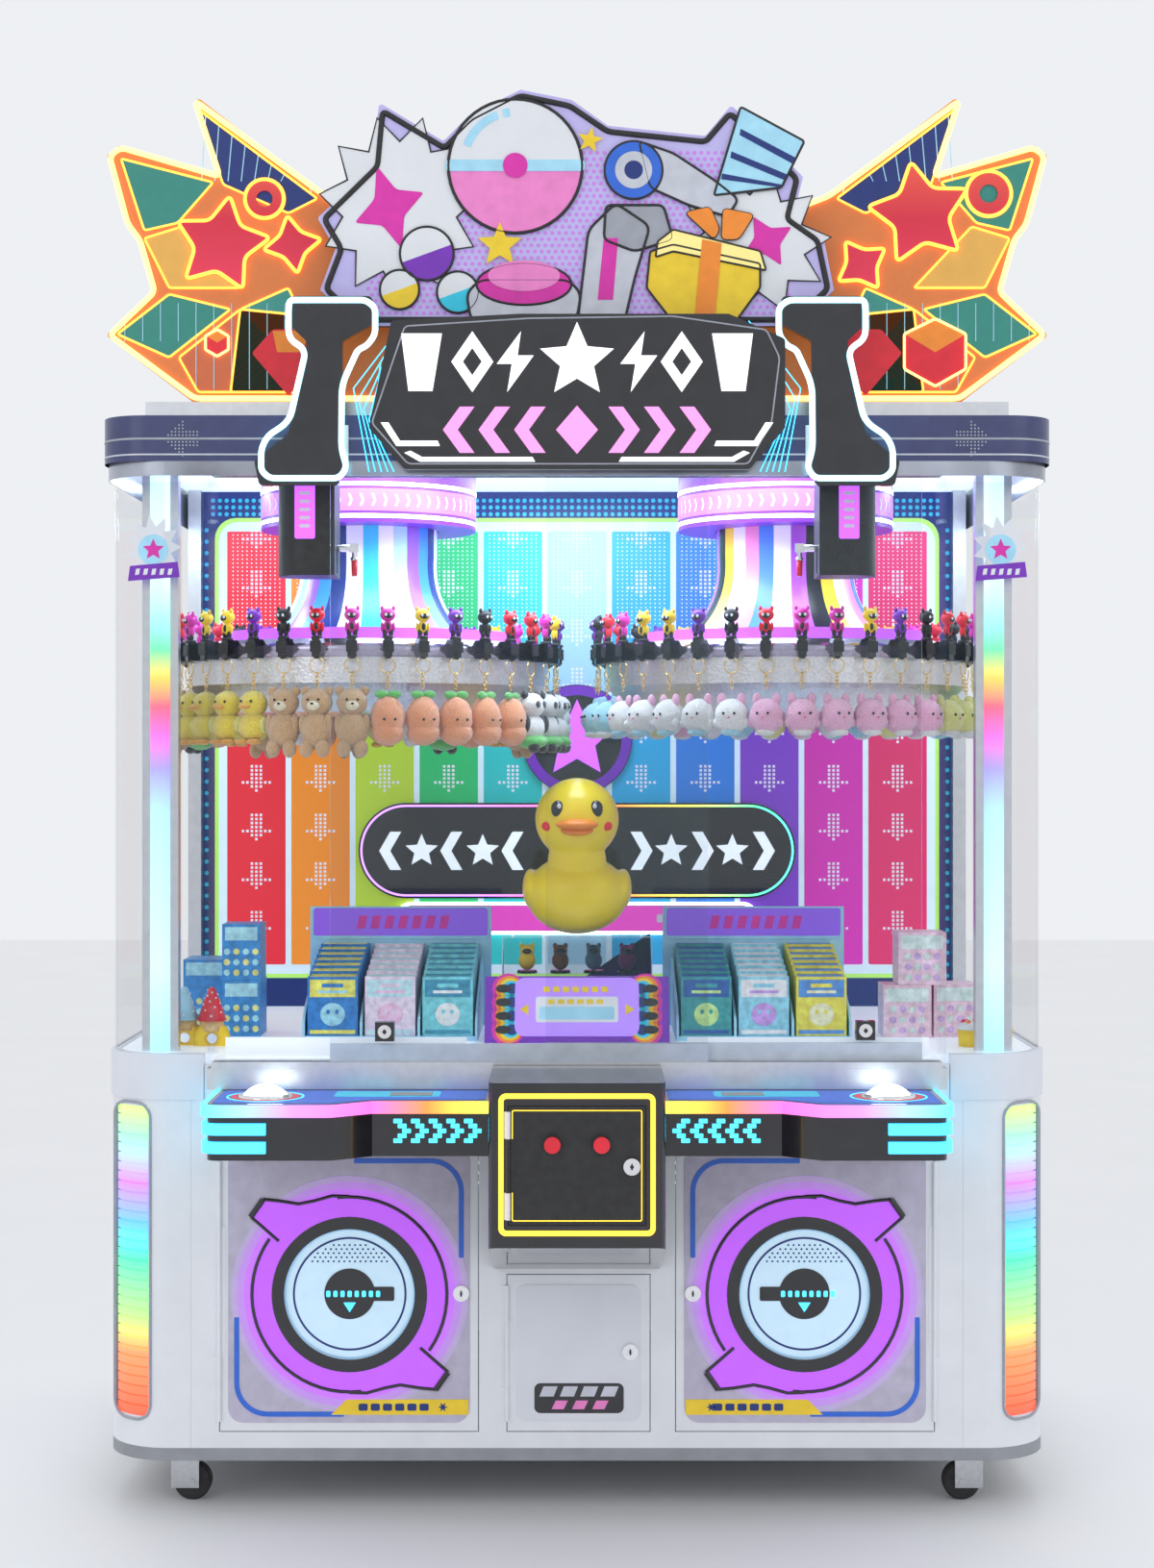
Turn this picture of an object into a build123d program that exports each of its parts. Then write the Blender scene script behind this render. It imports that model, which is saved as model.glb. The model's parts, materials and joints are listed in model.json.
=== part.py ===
from build123d import *
import math
import os

# Two-player prize machine. Millimetres, +Z up, front faces -Y, origin on the floor
# under the middle of the overall depth.

# ---- overall cabinet ----
body_w = 1870
body_depth = 1060
front_y = -336
rear_y = front_y + body_depth
corner_r = 130
rear_corner_r = 12
base_z = 105
base_t = 25
pan_t = 3
pan_half = 700
panel_t = 18
panel_z = base_z + base_t
body_top = 816
band_top = 906
band_proud = 4
seat_gap = 0.3
front_panel_half = 760
band_end = 735

# ---- play floor and chutes ----
floor_t = 20
floor_top = 905
floor_under = floor_top - floor_t
chute_in = 215
chute_out = 685
chute_front = front_y + 24
chute_mouth_rear = front_y + 215
chute_rear = front_y + 300
chute_wall = 4
chute_bed = 285

# ---- glass bay ----
bay_half = 713
bay_front = front_y - 102
glass_t = 6
roof_under = 2034
roof_top = 2149
roof_half = 925
roof_front = front_y - 105
roof_wall = 3
ceiling_under = 2121
ceiling_t = 15
door_w = 730
door_rail_h = 46
door_rail_t = 10
door_foot = floor_under + 5.5
door_top = 2040
front_pane = front_y - 95
rear_pane = front_y - 77
left_door_x = -477
right_door_x = -61
lock_z = 961
lock_side = 37

# ---- control decks and coin box ----
deck_top = 848
deck_under = 744
deck_out = 699
deck_deep = 321
deck_shallow = 266
deck_step_out = -454
deck_step_in = -383
deck_corner_r = 34
edge_w = 12
edge_low = 825
coin_half = 162
coin_front = front_y - 380
frame_d = 4
coin_face = coin_front + frame_d
coin_door_t = 8
coin_under = 595
coin_top = 896
coin_tail = 483
coin_wall = 12
coin_door_half = 125
coin_door_low = 637
coin_door_high = 854
button_x = 589
button_y = front_y - 201
button_r = 41.5
button_stem_r = 15
button_stroke = 6
return_x = 45
return_z = 784
return_r = 15
return_stem_r = 5
return_stroke = 4
run_fit = 0.05

# ---- doors ----
door_gap = 2
prize_in = 195
prize_out = 703
door_low = 163.5
prize_high = 715
flap_x = 448
flap_z = 433
flap_hole_r = 129
flap_face_r = 125
flap_plate_r = 138
flap_plate_t = 3
service_left = -137
service_right = 143
service_high = 471
hinge_r = 4
hinge_pin_r = 1.8
leaf_t = 1.5
leaf_w = 12
key_r = 16

# ---- carousels ----
ring_x = 446
ring_y = front_y + 440
clip_count = 36
clip_r = 405
clip_reach = 23
rim_r = clip_r - clip_reach
rim_band = 73
disc_r = rim_r - rim_band
rim_top = 1728
disc_top = 1755
skirt_low = 1640
bowl_low = 1583
bowl_r = 322
neck_r = 146
flare_r = 212
neck_top = 2000
crown_r = 229
crown_low = 1975
shaft_r = 30
hub_r = 70
head_r = 17
head_z = 1775
ring_wire = 1.5
ring_major = 15
ring_z = 1674
plush_w = 68
plush_deep = 78
plush_high = 158
plush_z = 1549

# ---- strikers ----
striker_x = 532
striker_y = front_y + 20
striker_r = 58
striker_low = 1847
striker_wall = 6
rod_z = 1904
rod_r = 7
finger_x = 440
stroke = 40
guide_r = 6

# ---- casters ----
caster_x = 800
caster_front = front_y + 110
caster_rear = rear_y - 110
wheel_r = 37.5
wheel_w = 30
plate_t = 5
trail = 28
axle_r = 6
king_r = 9


def block(x, y, z, mode=Mode.ADD):
    """Box between the two limits given for each axis."""
    with Locations(((x[0] + x[1]) / 2, (y[0] + y[1]) / 2, (z[0] + z[1]) / 2)):
        Box(x[1] - x[0], y[1] - y[0], z[1] - z[0], mode=mode)


def bar_y(x, z, y, radius, mode=Mode.ADD):
    """Round bar along Y between the two limits in y."""
    with Locations((x, (y[0] + y[1]) / 2, z)):
        Cylinder(radius, y[1] - y[0], rotation=(90, 0, 0), mode=mode)


def bar_x(y, z, x, radius, mode=Mode.ADD):
    """Round bar along X between the two limits in x."""
    with Locations(((x[0] + x[1]) / 2, y, z)):
        Cylinder(radius, x[1] - x[0], rotation=(0, 90, 0), mode=mode)


def bar_z(x, y, z, radius, mode=Mode.ADD):
    """Round bar along Z between the two limits in z."""
    with Locations((x, y, (z[0] + z[1]) / 2)):
        Cylinder(radius, z[1] - z[0], mode=mode)


def fixed_hinge(x, face_y, z, toward, leaf=leaf_w):
    """Pin and end knuckles of a hinge on the face at face_y, the leaf pointing toward -1 or 1."""
    knuckle = (z[1] - z[0]) / 4
    axis_y = face_y - hinge_r
    bar_z(x, axis_y, z, hinge_pin_r)
    for ends in ((z[0], z[0] + knuckle), (z[1] - knuckle, z[1])):
        bar_z(x, axis_y, ends, hinge_r)
        block(sorted((x, x + toward * leaf)), (face_y - leaf_t, face_y), ends)


def moving_hinge(x, face_y, z, toward):
    """Middle knuckle that turns on the pin, the leaf pointing toward -1 or 1."""
    knuckle = (z[1] - z[0]) / 4
    axis_y = face_y - hinge_r
    middle = (z[0] + knuckle + seat_gap, z[1] - knuckle - seat_gap)
    bar_z(x, axis_y, middle, hinge_r)
    block(sorted((x, x + toward * leaf_w)), (face_y - leaf_t, face_y), middle)
    bar_z(x, axis_y, middle, hinge_pin_r + run_fit, Mode.SUBTRACT)


def rounded_plan(half, front, rear, front_r, rear_r, mode=Mode.ADD):
    """Plan outline with its front and rear corners rounded, drawn in the open sketch."""
    with BuildSketch(mode=Mode.PRIVATE) as plan:
        with Locations((0, (front + rear) / 2)):
            Rectangle(half * 2, rear - front)
        fillet(plan.vertices().group_by(Axis.Y)[0], front_r)
        fillet(plan.vertices().group_by(Axis.Y)[-1], rear_r)
    add(plan.sketch, mode=mode)


def deck_plan(inset, mode=Mode.ADD):
    """Left control deck outline, its front and outer edges moved inwards by inset."""
    front = front_y - deck_deep + inset
    shallow = front_y - deck_shallow + inset
    with BuildSketch(mode=Mode.PRIVATE) as plan:
        with BuildLine():
            Polyline((-deck_out + inset, front_y - seat_gap), (-deck_out + inset, front),
                     (deck_step_out, front), (deck_step_in, shallow),
                     (-coin_half - seat_gap, shallow), (-coin_half - seat_gap, front_y - seat_gap),
                     close=True)
        make_face()
        fillet(plan.vertices().group_by(Axis.Y)[0], deck_corner_r - inset)
    add(plan.sketch, mode=mode)


def cabinet_plan(inset, mode=Mode.ADD):
    """Cabinet outline moved inwards by inset."""
    rear_r = max(rear_corner_r - inset, 2)
    rounded_plan(body_w / 2 - inset, front_y + inset, rear_y - inset,
                 corner_r - inset, rear_r, mode)


def roof_plan(inset, mode=Mode.ADD):
    """Roof outline moved inwards by inset."""
    rear_r = max(rear_corner_r - inset, 2)
    rounded_plan(roof_half - inset, roof_front + inset, rear_y - inset,
                 corner_r - inset, rear_r, mode)


os.makedirs("parts", exist_ok=True)

# ======== base frame: tray, posts and the rails that carry the play floor ========
post = 40
post_x = 860
post_front = front_y + 150
post_rear = rear_y - 80
rail_front = chute_rear + 10
with BuildPart() as base_frame:
    with BuildSketch(Plane.XY.offset(base_z)):
        cabinet_plan(0)
    extrude(amount=base_t)
    block((-pan_half, pan_half), (post_front, post_rear + post), (base_z - pan_t, base_z))
    for x in (-post_x, post_x):
        for y in (post_front, post_rear):
            block((x - post / 2, x + post / 2), (y, y + post), (panel_z, floor_under))
        block((x - post / 2, x + post / 2), (post_front, post_rear), (floor_under - post, floor_under))
    for y in (rail_front, post_rear):
        block((-post_x, post_x), (y, y + post), (floor_under - post, floor_under))
base_frame.part.label = "base_frame"
export_step(base_frame.part, "parts/base_frame.step")

# ======== front panel with its door openings ========
with BuildPart() as front_panel:
    block((-front_panel_half, front_panel_half), (front_y, front_y + panel_t), (panel_z, body_top))
    block((-band_end + 1, band_end - 1), (front_y, front_y + panel_t), (body_top, floor_under))
    for side in (-1, 1):
        opening = sorted((side * (prize_in - door_gap), side * (prize_out + door_gap)))
        block(opening, (front_y, front_y + panel_t), (door_low - door_gap, prize_high + door_gap),
              Mode.SUBTRACT)
    block((service_left - door_gap, service_right + door_gap), (front_y, front_y + panel_t),
          (door_low - door_gap, service_high + door_gap), Mode.SUBTRACT)
    block((-coin_half + 30, coin_half - 30), (front_y, front_y + panel_t), (620, 800), Mode.SUBTRACT)
front_panel.part.label = "front_panel"
export_step(front_panel.part, "parts/front_panel.step")

# ======== curved corner shells with a window for the light grille ========
grille_in = 845
grille_out = 920
grille_low = 190
grille_high = 802
with BuildPart() as corner_shells:
    with BuildSketch(Plane.XY.offset(panel_z)):
        cabinet_plan(0)
        cabinet_plan(panel_t, Mode.SUBTRACT)
    extrude(amount=body_top - panel_z)
    block((-body_w / 2, -front_panel_half - seat_gap), (front_y, front_y + corner_r),
          (panel_z, body_top), Mode.INTERSECT)
    block((-grille_out, -grille_in), (front_y, front_y + corner_r), (grille_low, grille_high),
          Mode.SUBTRACT)
    mirror(about=Plane.YZ)
corner_shells.part.label = "corner_shells"
export_step(corner_shells.part, "parts/corner_shells.step")

# ======== side panels, rear panel and upper rear cover ========
cover_t = roof_wall
vent_z = 480
vent_pitch_x = 130
vent_pitch_z = 24
with BuildPart() as cabinet_panels:
    block((-body_w / 2, -body_w / 2 + panel_t), (front_y + corner_r + seat_gap, rear_y - panel_t),
          (panel_z, body_top))
    mirror(about=Plane.YZ)
    block((-body_w / 2, body_w / 2), (rear_y - panel_t + seat_gap, rear_y), (panel_z, floor_top))
    block((-roof_half, roof_half), (rear_y - cover_t, rear_y), (band_top, roof_under))
    with Locations((0, rear_y - panel_t / 2, vent_z)):
        with Locations(*[(0, 0, row * vent_pitch_z) for row in range(5)]):
            with Locations(*[((column - 2.5) * vent_pitch_x, 0, 0) for column in range(6)]):
                Box(vent_pitch_x - 30, panel_t, 8, mode=Mode.SUBTRACT)
cabinet_panels.part.label = "cabinet_panels"
export_step(cabinet_panels.part, "parts/cabinet_panels.step")

# ======== corner bands ========
with BuildPart() as corner_bands:
    with BuildSketch(Plane.XY.offset(body_top)):
        cabinet_plan(-band_proud)
        cabinet_plan(panel_t, Mode.SUBTRACT)
    extrude(amount=band_top - body_top)
    block((-body_w, -band_end), (front_y - band_proud, rear_y - panel_t), (body_top, band_top),
          Mode.INTERSECT)
    mirror(about=Plane.YZ)
corner_bands.part.label = "corner_bands"
export_step(corner_bands.part, "parts/corner_bands.step")

# ======== play floor with a drop opening over each chute ========
floor_front = front_y - 58
with BuildPart() as play_floor:
    with BuildSketch(Plane.XY.offset(floor_under)):
        cabinet_plan(panel_t + seat_gap)
    extrude(amount=floor_t)
    block((-bay_half + glass_t + seat_gap, bay_half - glass_t - seat_gap),
          (floor_front, front_y + 2 * panel_t), (floor_under, floor_top))
    for side in (-1, 1):
        block(sorted((side * chute_in, side * chute_out)), (chute_front, chute_mouth_rear),
              (floor_under, floor_top), Mode.SUBTRACT)
play_floor.part.label = "play_floor"
export_step(play_floor.part, "parts/play_floor.step")

# ======== prize chutes: walls, sloping bed and the ramp in front of the opening ========
with BuildPart() as prize_chutes:
    for side in (-1, 1):
        outer = sorted((side * (chute_in - chute_wall), side * (chute_out + chute_wall)))
        inner = sorted((side * chute_in, side * chute_out))
        front = front_y + panel_t + seat_gap
        block(outer, (front, chute_rear), (panel_z, floor_under - seat_gap))
        block(inner, (front, chute_rear - chute_wall), (chute_bed, floor_under), Mode.SUBTRACT)
        block(inner, (front, chute_rear - chute_wall), (panel_z, chute_bed - chute_wall), Mode.SUBTRACT)
        with BuildSketch(Plane.YZ.offset(inner[0])) as ramp:
            with BuildLine():
                Polyline((floor_front + 4, floor_top + seat_gap), (chute_front, floor_top + seat_gap),
                         (floor_front + 4, floor_top + 40), close=True)
            make_face()
        extrude(amount=inner[1] - inner[0])
prize_chutes.part.label = "prize_chutes"
export_step(prize_chutes.part, "parts/prize_chutes.step")

# ======== front sill under the glass bay ========
with BuildPart() as front_sill:
    block((-bay_half - 2, bay_half + 2), (bay_front, front_y - seat_gap), (deck_top + 1, floor_under))
    block((-bay_half - 2, bay_half + 2), (bay_front, floor_front - 2), (floor_under, floor_under + 5))
front_sill.part.label = "front_sill"
export_step(front_sill.part, "parts/front_sill.step")

# ======== rails the sliding doors run in ========
lip_t = 2
lip_h = 12
rail_foot = floor_under + 5
with BuildPart() as bay_rails:
    for y in (front_y - 101, front_y - 84, front_y - 66):
        block((-bay_half + glass_t + 1, bay_half - glass_t - 1), (y, y + lip_t),
              (rail_foot, rail_foot + lip_h))
        block((-bay_half + glass_t + 1, bay_half - glass_t - 1), (y, y + lip_t),
              (door_top - 6, door_top + 6))
    block((-bay_half + glass_t + 1, bay_half - glass_t - 1), (front_y - 101, front_y - 64),
          (door_top + 6, door_top + 16))
    for x in (-bay_half + 60, 0, bay_half - 60):
        block((x - 20, x + 20), (front_y - 101, front_y - 64), (door_top + 16, ceiling_under))
bay_rails.part.label = "bay_rails"
export_step(bay_rails.part, "parts/bay_rails.step")

# ======== control decks with a pocket for each dome button ========
pocket_floor = 826
bezel_r = 50
bezel_h = 5
with BuildPart() as control_decks:
    with BuildSketch(Plane.XY.offset(deck_under)):
        deck_plan(edge_w + seat_gap)
    extrude(amount=deck_top - deck_under)
    bar_z(-button_x, button_y, (deck_top, deck_top + bezel_h), bezel_r)
    bar_z(-button_x, button_y, (pocket_floor, deck_top + bezel_h), button_r + 1, Mode.SUBTRACT)
    bar_z(-button_x, button_y, (deck_under, pocket_floor), button_stem_r + run_fit, Mode.SUBTRACT)
    mirror(about=Plane.YZ)
control_decks.part.label = "control_decks"
export_step(control_decks.part, "parts/control_decks.step")

# ======== light strips: deck edge, bars round the deck end, coin frame, grilles ========
bar_inner = -575
bar_lows = (758, 792)
bar_h = 21
frame_out = 143
frame_t = 9
frame_joint = frame_out - frame_t - 8
frame_low = 618
frame_high = 877
louvre_count = 32
louvre_t = 10
louvre_groove = 3
with BuildPart() as light_strips:
    with BuildSketch(Plane.XY.offset(edge_low)):
        deck_plan(0)
        deck_plan(edge_w, Mode.SUBTRACT)
    extrude(amount=deck_top - edge_low - 1)
    for low in bar_lows:
        with BuildSketch(Plane.XY.offset(low)):
            deck_plan(2)
            deck_plan(edge_w, Mode.SUBTRACT)
            with Locations((0, front_y)):
                Rectangle(-2 * bar_inner, 2 * body_depth, mode=Mode.SUBTRACT)
        extrude(amount=bar_h)
    with BuildSketch(Plane.XY.offset(grille_low + 1)):
        with BuildSketch(mode=Mode.PRIVATE) as curve:
            cabinet_plan(2)
            cabinet_plan(2 + louvre_t, Mode.SUBTRACT)
            with Locations((-(grille_in + grille_out) / 2, front_y)):
                Rectangle(grille_out - grille_in - 2 * seat_gap, corner_r, mode=Mode.INTERSECT)
        add(curve.sketch)
    extrude(amount=grille_high - grille_low - 2)
    pitch = (grille_high - grille_low - 2) / louvre_count
    for step in range(1, louvre_count):
        groove = grille_low + 1 + step * pitch
        with BuildSketch(Plane.XY.offset(groove - louvre_groove / 2)):
            with BuildSketch(mode=Mode.PRIVATE) as slot:
                cabinet_plan(0)
                cabinet_plan(7, Mode.SUBTRACT)
                with Locations((-(grille_in + grille_out) / 2, front_y)):
                    Rectangle(grille_out - grille_in + 2, corner_r, mode=Mode.INTERSECT)
            add(slot.sketch)
        extrude(amount=louvre_groove, mode=Mode.SUBTRACT)
    mirror(about=Plane.YZ)
    with BuildSketch(Plane.XZ.offset(-coin_front)):
        with Locations((0, (frame_low + frame_high) / 2)):
            RectangleRounded(2 * frame_out, frame_high - frame_low, 14)
            RectangleRounded(2 * (frame_out - frame_t), frame_high - frame_low - 2 * frame_t, 6,
                             mode=Mode.SUBTRACT)
    extrude(amount=-frame_d)
    for x in (-frame_joint, frame_joint):
        block((x, x + seat_gap), (coin_front, coin_front + frame_d), (frame_low, frame_high),
              Mode.SUBTRACT)
light_strips.part.label = "light_strips"
export_step(light_strips.part, "parts/light_strips.step")

# ======== coin box ========
with BuildPart() as coin_box:
    with BuildSketch(Plane.YZ.offset(-coin_half)):
        with BuildLine():
            Polyline((coin_face, coin_under), (coin_face, coin_top), (bay_front - 6, coin_top),
                     (bay_front - 6, deck_top + 0.7), (front_y - seat_gap, deck_top + 0.7),
                     (front_y - seat_gap, coin_tail), close=True)
        make_face()
    extrude(amount=2 * coin_half)
    fillet(coin_box.edges().filter_by(Axis.Z).group_by(Axis.Y)[0], 18)
    inner = (-coin_half + coin_wall, coin_half - coin_wall)
    block(inner, (coin_face + coin_wall, bay_front - 18), (620, coin_top - coin_wall), Mode.SUBTRACT)
    block(inner, (bay_front - 19, front_y - coin_wall), (620, deck_top - coin_wall), Mode.SUBTRACT)
    block((-coin_door_half - 1, coin_door_half + 1), (coin_face, coin_face + coin_wall),
          (coin_door_low - 1, coin_door_high + 1), Mode.SUBTRACT)
coin_box.part.label = "coin_box"
export_step(coin_box.part, "parts/coin_box.step")

# ======== fixed hinge leaves and pins ========
prize_hinge_z = (door_low + 20, prize_high - 20)
service_hinge_z = (door_low + 20, service_high - 20)
coin_hinge_z = (coin_door_low + 10, coin_door_high - 10)
coin_leaf = 7
with BuildPart() as door_hinges:
    fixed_hinge(-prize_out - door_gap / 2, front_y, prize_hinge_z, -1)
    fixed_hinge(prize_out + door_gap / 2, front_y, prize_hinge_z, 1)
    fixed_hinge(service_left - door_gap / 2, front_y, service_hinge_z, -1)
    fixed_hinge(-coin_door_half - 0.5, coin_face, coin_hinge_z, -1, coin_leaf)
door_hinges.part.label = "door_hinges"
export_step(door_hinges.part, "parts/door_hinges.step")

# ======== prize doors and their round push flaps ========
lug_t = 8
flap_pin_r = 2
flap_knuckle_r = 5
flap_axis_y = front_y + panel_t + 7
flap_axis_z = flap_z + flap_plate_r + 8
flap_tab = 50
for side, name in ((-1, "left"), (1, "right")):
    with BuildPart() as prize_door:
        block(sorted((side * prize_in, side * prize_out)), (front_y, front_y + panel_t),
              (door_low, prize_high))
        bar_y(side * flap_x, flap_z, (front_y, front_y + panel_t), flap_hole_r, Mode.SUBTRACT)
        moving_hinge(side * (prize_out + door_gap / 2), front_y, prize_hinge_z, -side)
        bar_y(side * (prize_in + 33), flap_z + 2, (front_y - 5, front_y), key_r)
        for end in (-1, 1):
            lug = sorted((side * flap_x + end * (flap_tab + 1), side * flap_x + end * (flap_tab + 1 + lug_t)))
            block(lug, (front_y + panel_t, flap_axis_y + flap_knuckle_r),
                  (flap_axis_z - flap_knuckle_r, flap_axis_z + flap_knuckle_r))
        bar_x(flap_axis_y, flap_axis_z, (side * flap_x - flap_tab - 2, side * flap_x + flap_tab + 2),
              flap_pin_r)
    prize_door.part.label = f"prize_door_{name}"
    export_step(prize_door.part, f"parts/prize_door_{name}.step")
    with BuildPart() as prize_flap:
        plate_y = front_y + panel_t + seat_gap
        bar_y(side * flap_x, flap_z, (plate_y, plate_y + flap_plate_t), flap_plate_r)
        bar_y(side * flap_x, flap_z, (front_y + 4, plate_y), flap_face_r)
        bar_y(side * flap_x, flap_z, (front_y + 8, plate_y + flap_plate_t), flap_face_r - 4,
              Mode.SUBTRACT)
        tab = (side * flap_x - flap_tab, side * flap_x + flap_tab)
        block(tab, (plate_y, plate_y + flap_plate_t), (flap_z + flap_face_r, flap_axis_z))
        bar_x(flap_axis_y, flap_axis_z, tab, flap_knuckle_r)
        bar_x(flap_axis_y, flap_axis_z, tab, flap_pin_r + run_fit, Mode.SUBTRACT)
    prize_flap.part.label = f"prize_flap_{name}"
    export_step(prize_flap.part, f"parts/prize_flap_{name}.step")

# ======== service door ========
with BuildPart() as service_door:
    block((service_left, service_right), (front_y, front_y + panel_t), (door_low, service_high))
    moving_hinge(service_left - door_gap / 2, front_y, service_hinge_z, 1)
    bar_y(service_right - 38, 320, (front_y - 5, front_y), key_r)
service_door.part.label = "service_door"
export_step(service_door.part, "parts/service_door.step")

# ======== coin door and its two return buttons ========
return_cap = 7.5
with BuildPart() as coin_door:
    block((-coin_door_half, coin_door_half), (coin_face, coin_face + coin_door_t),
          (coin_door_low, coin_door_high))
    moving_hinge(-coin_door_half - 0.5, coin_face, coin_hinge_z, 1)
    bar_y(100, 744, (coin_face - 5, coin_face), key_r)
    for x in (-return_x, return_x):
        bar_y(x, return_z, (coin_face - 6, coin_face), return_r + 3)
        bar_y(x, return_z, (coin_face - 6, coin_face), return_r + 0.5, Mode.SUBTRACT)
        bar_y(x, return_z, (coin_face, coin_face + coin_door_t), return_stem_r + run_fit, Mode.SUBTRACT)
coin_door.part.label = "coin_door"
export_step(coin_door.part, "parts/coin_door.step")
for side, name in ((-1, "left"), (1, "right")):
    with BuildPart() as coin_return:
        back = coin_face - return_stroke - 0.5
        bar_y(side * return_x, return_z, (back - return_cap, back), return_r)
        bar_y(side * return_x, return_z, (back, coin_face + coin_door_t + 6), return_stem_r)
        bar_y(side * return_x, return_z, (coin_face + coin_door_t + 1, coin_face + coin_door_t + 6),
              return_stem_r + 3)
    coin_return.part.label = f"coin_return_{name}"
    export_step(coin_return.part, f"parts/coin_return_{name}.step")

# ======== dome start buttons ========
cap_under = pocket_floor + button_stroke + 0.5
dome_h = 20
dome_r = (button_r ** 2 + dome_h ** 2) / (2 * dome_h)
cap_edge = deck_top + bezel_h
cap_peak = cap_edge + dome_h
dome_mid = (button_r / 2, cap_peak - dome_r + math.sqrt(dome_r ** 2 - button_r ** 2 / 4))
for side, name in ((-1, "left"), (1, "right")):
    with BuildPart() as start_button:
        centre = Plane(origin=(side * button_x, button_y, 0), x_dir=(1, 0, 0), z_dir=(0, -1, 0))
        with BuildSketch(centre):
            with BuildLine():
                Polyline((0, cap_peak), (0, deck_under + 16), (button_stem_r, deck_under + 16),
                         (button_stem_r, cap_under), (button_r, cap_under), (button_r, cap_edge))
                ThreePointArc((button_r, cap_edge), dome_mid, (0, cap_peak))
            make_face()
        revolve(axis=Axis((side * button_x, button_y, 0), (0, 0, 1)))
    start_button.part.label = f"start_button_{name}"
    export_step(start_button.part, f"parts/start_button_{name}.step")

# ======== sliding glass doors ========
for name, x, pane, proud_front, proud_rear in (("left", left_door_x, front_pane, 12, 3),
                                               ("right", right_door_x, rear_pane, 8, 10)):
    lock_x = x + 106 if name == "left" else x + door_w - 110
    with BuildPart() as glass_door:
        block((x, x + door_w), (pane, pane + glass_t), (door_foot, door_top))
        block((x, x + door_w), (pane - 2, pane - 2 + door_rail_t), (door_foot, door_foot + door_rail_h))
        block((lock_x - lock_side / 2, lock_x + lock_side / 2),
              (pane - proud_front, pane + glass_t + proud_rear),
              (lock_z - lock_side / 2, lock_z + lock_side / 2))
    glass_door.part.label = f"glass_door_{name}"
    export_step(glass_door.part, f"parts/glass_door_{name}.step")

# ======== fixed glass: curved corners, bay returns and sides ========
glass_inset = 3
curve_t = 5
side_post = rear_y - 100
with BuildPart() as cabinet_glass:
    with BuildSketch(Plane.XY.offset(band_top)):
        with BuildSketch(mode=Mode.PRIVATE) as curve:
            cabinet_plan(glass_inset)
            cabinet_plan(glass_inset + curve_t, Mode.SUBTRACT)
            with Locations((-(bay_half + body_w) / 2, front_y + corner_r / 2)):
                Rectangle(body_w - bay_half, corner_r + glass_inset, mode=Mode.INTERSECT)
        add(curve.sketch)
    extrude(amount=roof_under - band_top)
    block((-body_w / 2 + glass_inset, -body_w / 2 + glass_inset + curve_t),
          (front_y + corner_r + 3, side_post), (band_top, roof_under))
    block((-bay_half, -bay_half + glass_t), (bay_front + 1, front_y + glass_inset),
          (rail_foot, roof_under))
    mirror(about=Plane.YZ)
cabinet_glass.part.label = "cabinet_glass"
export_step(cabinet_glass.part, "parts/cabinet_glass.step")

wall_deep = 60
back_face = rear_y - wall_deep

# ======== rear posts and the housings of the front light columns ========
column_x = 831
column_w = 72
column_y = front_y + 62
with BuildPart() as corner_posts:
    block((-roof_half + 12, -roof_half + 42), (side_post + 1, back_face - seat_gap),
          (floor_top, ceiling_under))
    block((-column_x - column_w / 2, -column_x + column_w / 2), (column_y, column_y + 30),
          (floor_top, ceiling_under))
    block((-column_x - 18, -column_x + 18), (column_y, column_y + 8), (floor_top, ceiling_under),
          Mode.SUBTRACT)
    mirror(about=Plane.YZ)
corner_posts.part.label = "corner_posts"
export_step(corner_posts.part, "parts/corner_posts.step")

# ======== light tubes of the front columns ========
with BuildPart() as corner_lights:
    bar_z(-column_x, column_y, (floor_top + 1, ceiling_under - 1), 20)
    block((-column_x - 21, -column_x + 21), (column_y - seat_gap, column_y + 30),
          (floor_top, ceiling_under), Mode.SUBTRACT)
    block((-column_x - 17, -column_x + 17), (column_y - 2, column_y + 7.7),
          (floor_top + 1, ceiling_under - 1))
    mirror(about=Plane.YZ)
corner_lights.part.label = "corner_lights"
export_step(corner_lights.part, "parts/corner_lights.step")

# ======== back wall light box ========
with BuildPart() as back_wall:
    block((-890, 890), (back_face, rear_y - cover_t - seat_gap), (floor_top, ceiling_under))
    block((-880, 880), (back_face + 6, rear_y), (floor_top + 10, ceiling_under - 10), Mode.SUBTRACT)
back_wall.part.label = "back_wall"
export_step(back_wall.part, "parts/back_wall.step")

# ======== pill and badge signs on the back wall ========
sign_t = 20
with BuildPart() as back_sign:
    with BuildSketch(Plane.XZ.offset(-back_face)):
        with Locations((0, 1273.5)):
            SlotOverall(1030, 225)
    extrude(amount=sign_t)
    with BuildSketch(Plane.XZ.offset(-back_face)):
        with Locations((0, 1113.5)):
            SlotOverall(840, 61)
    extrude(amount=12)
    bar_y(0, 1535, (back_face - 14, back_face), 130)
back_sign.part.label = "back_sign"
export_step(back_sign.part, "parts/back_sign.step")

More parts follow.
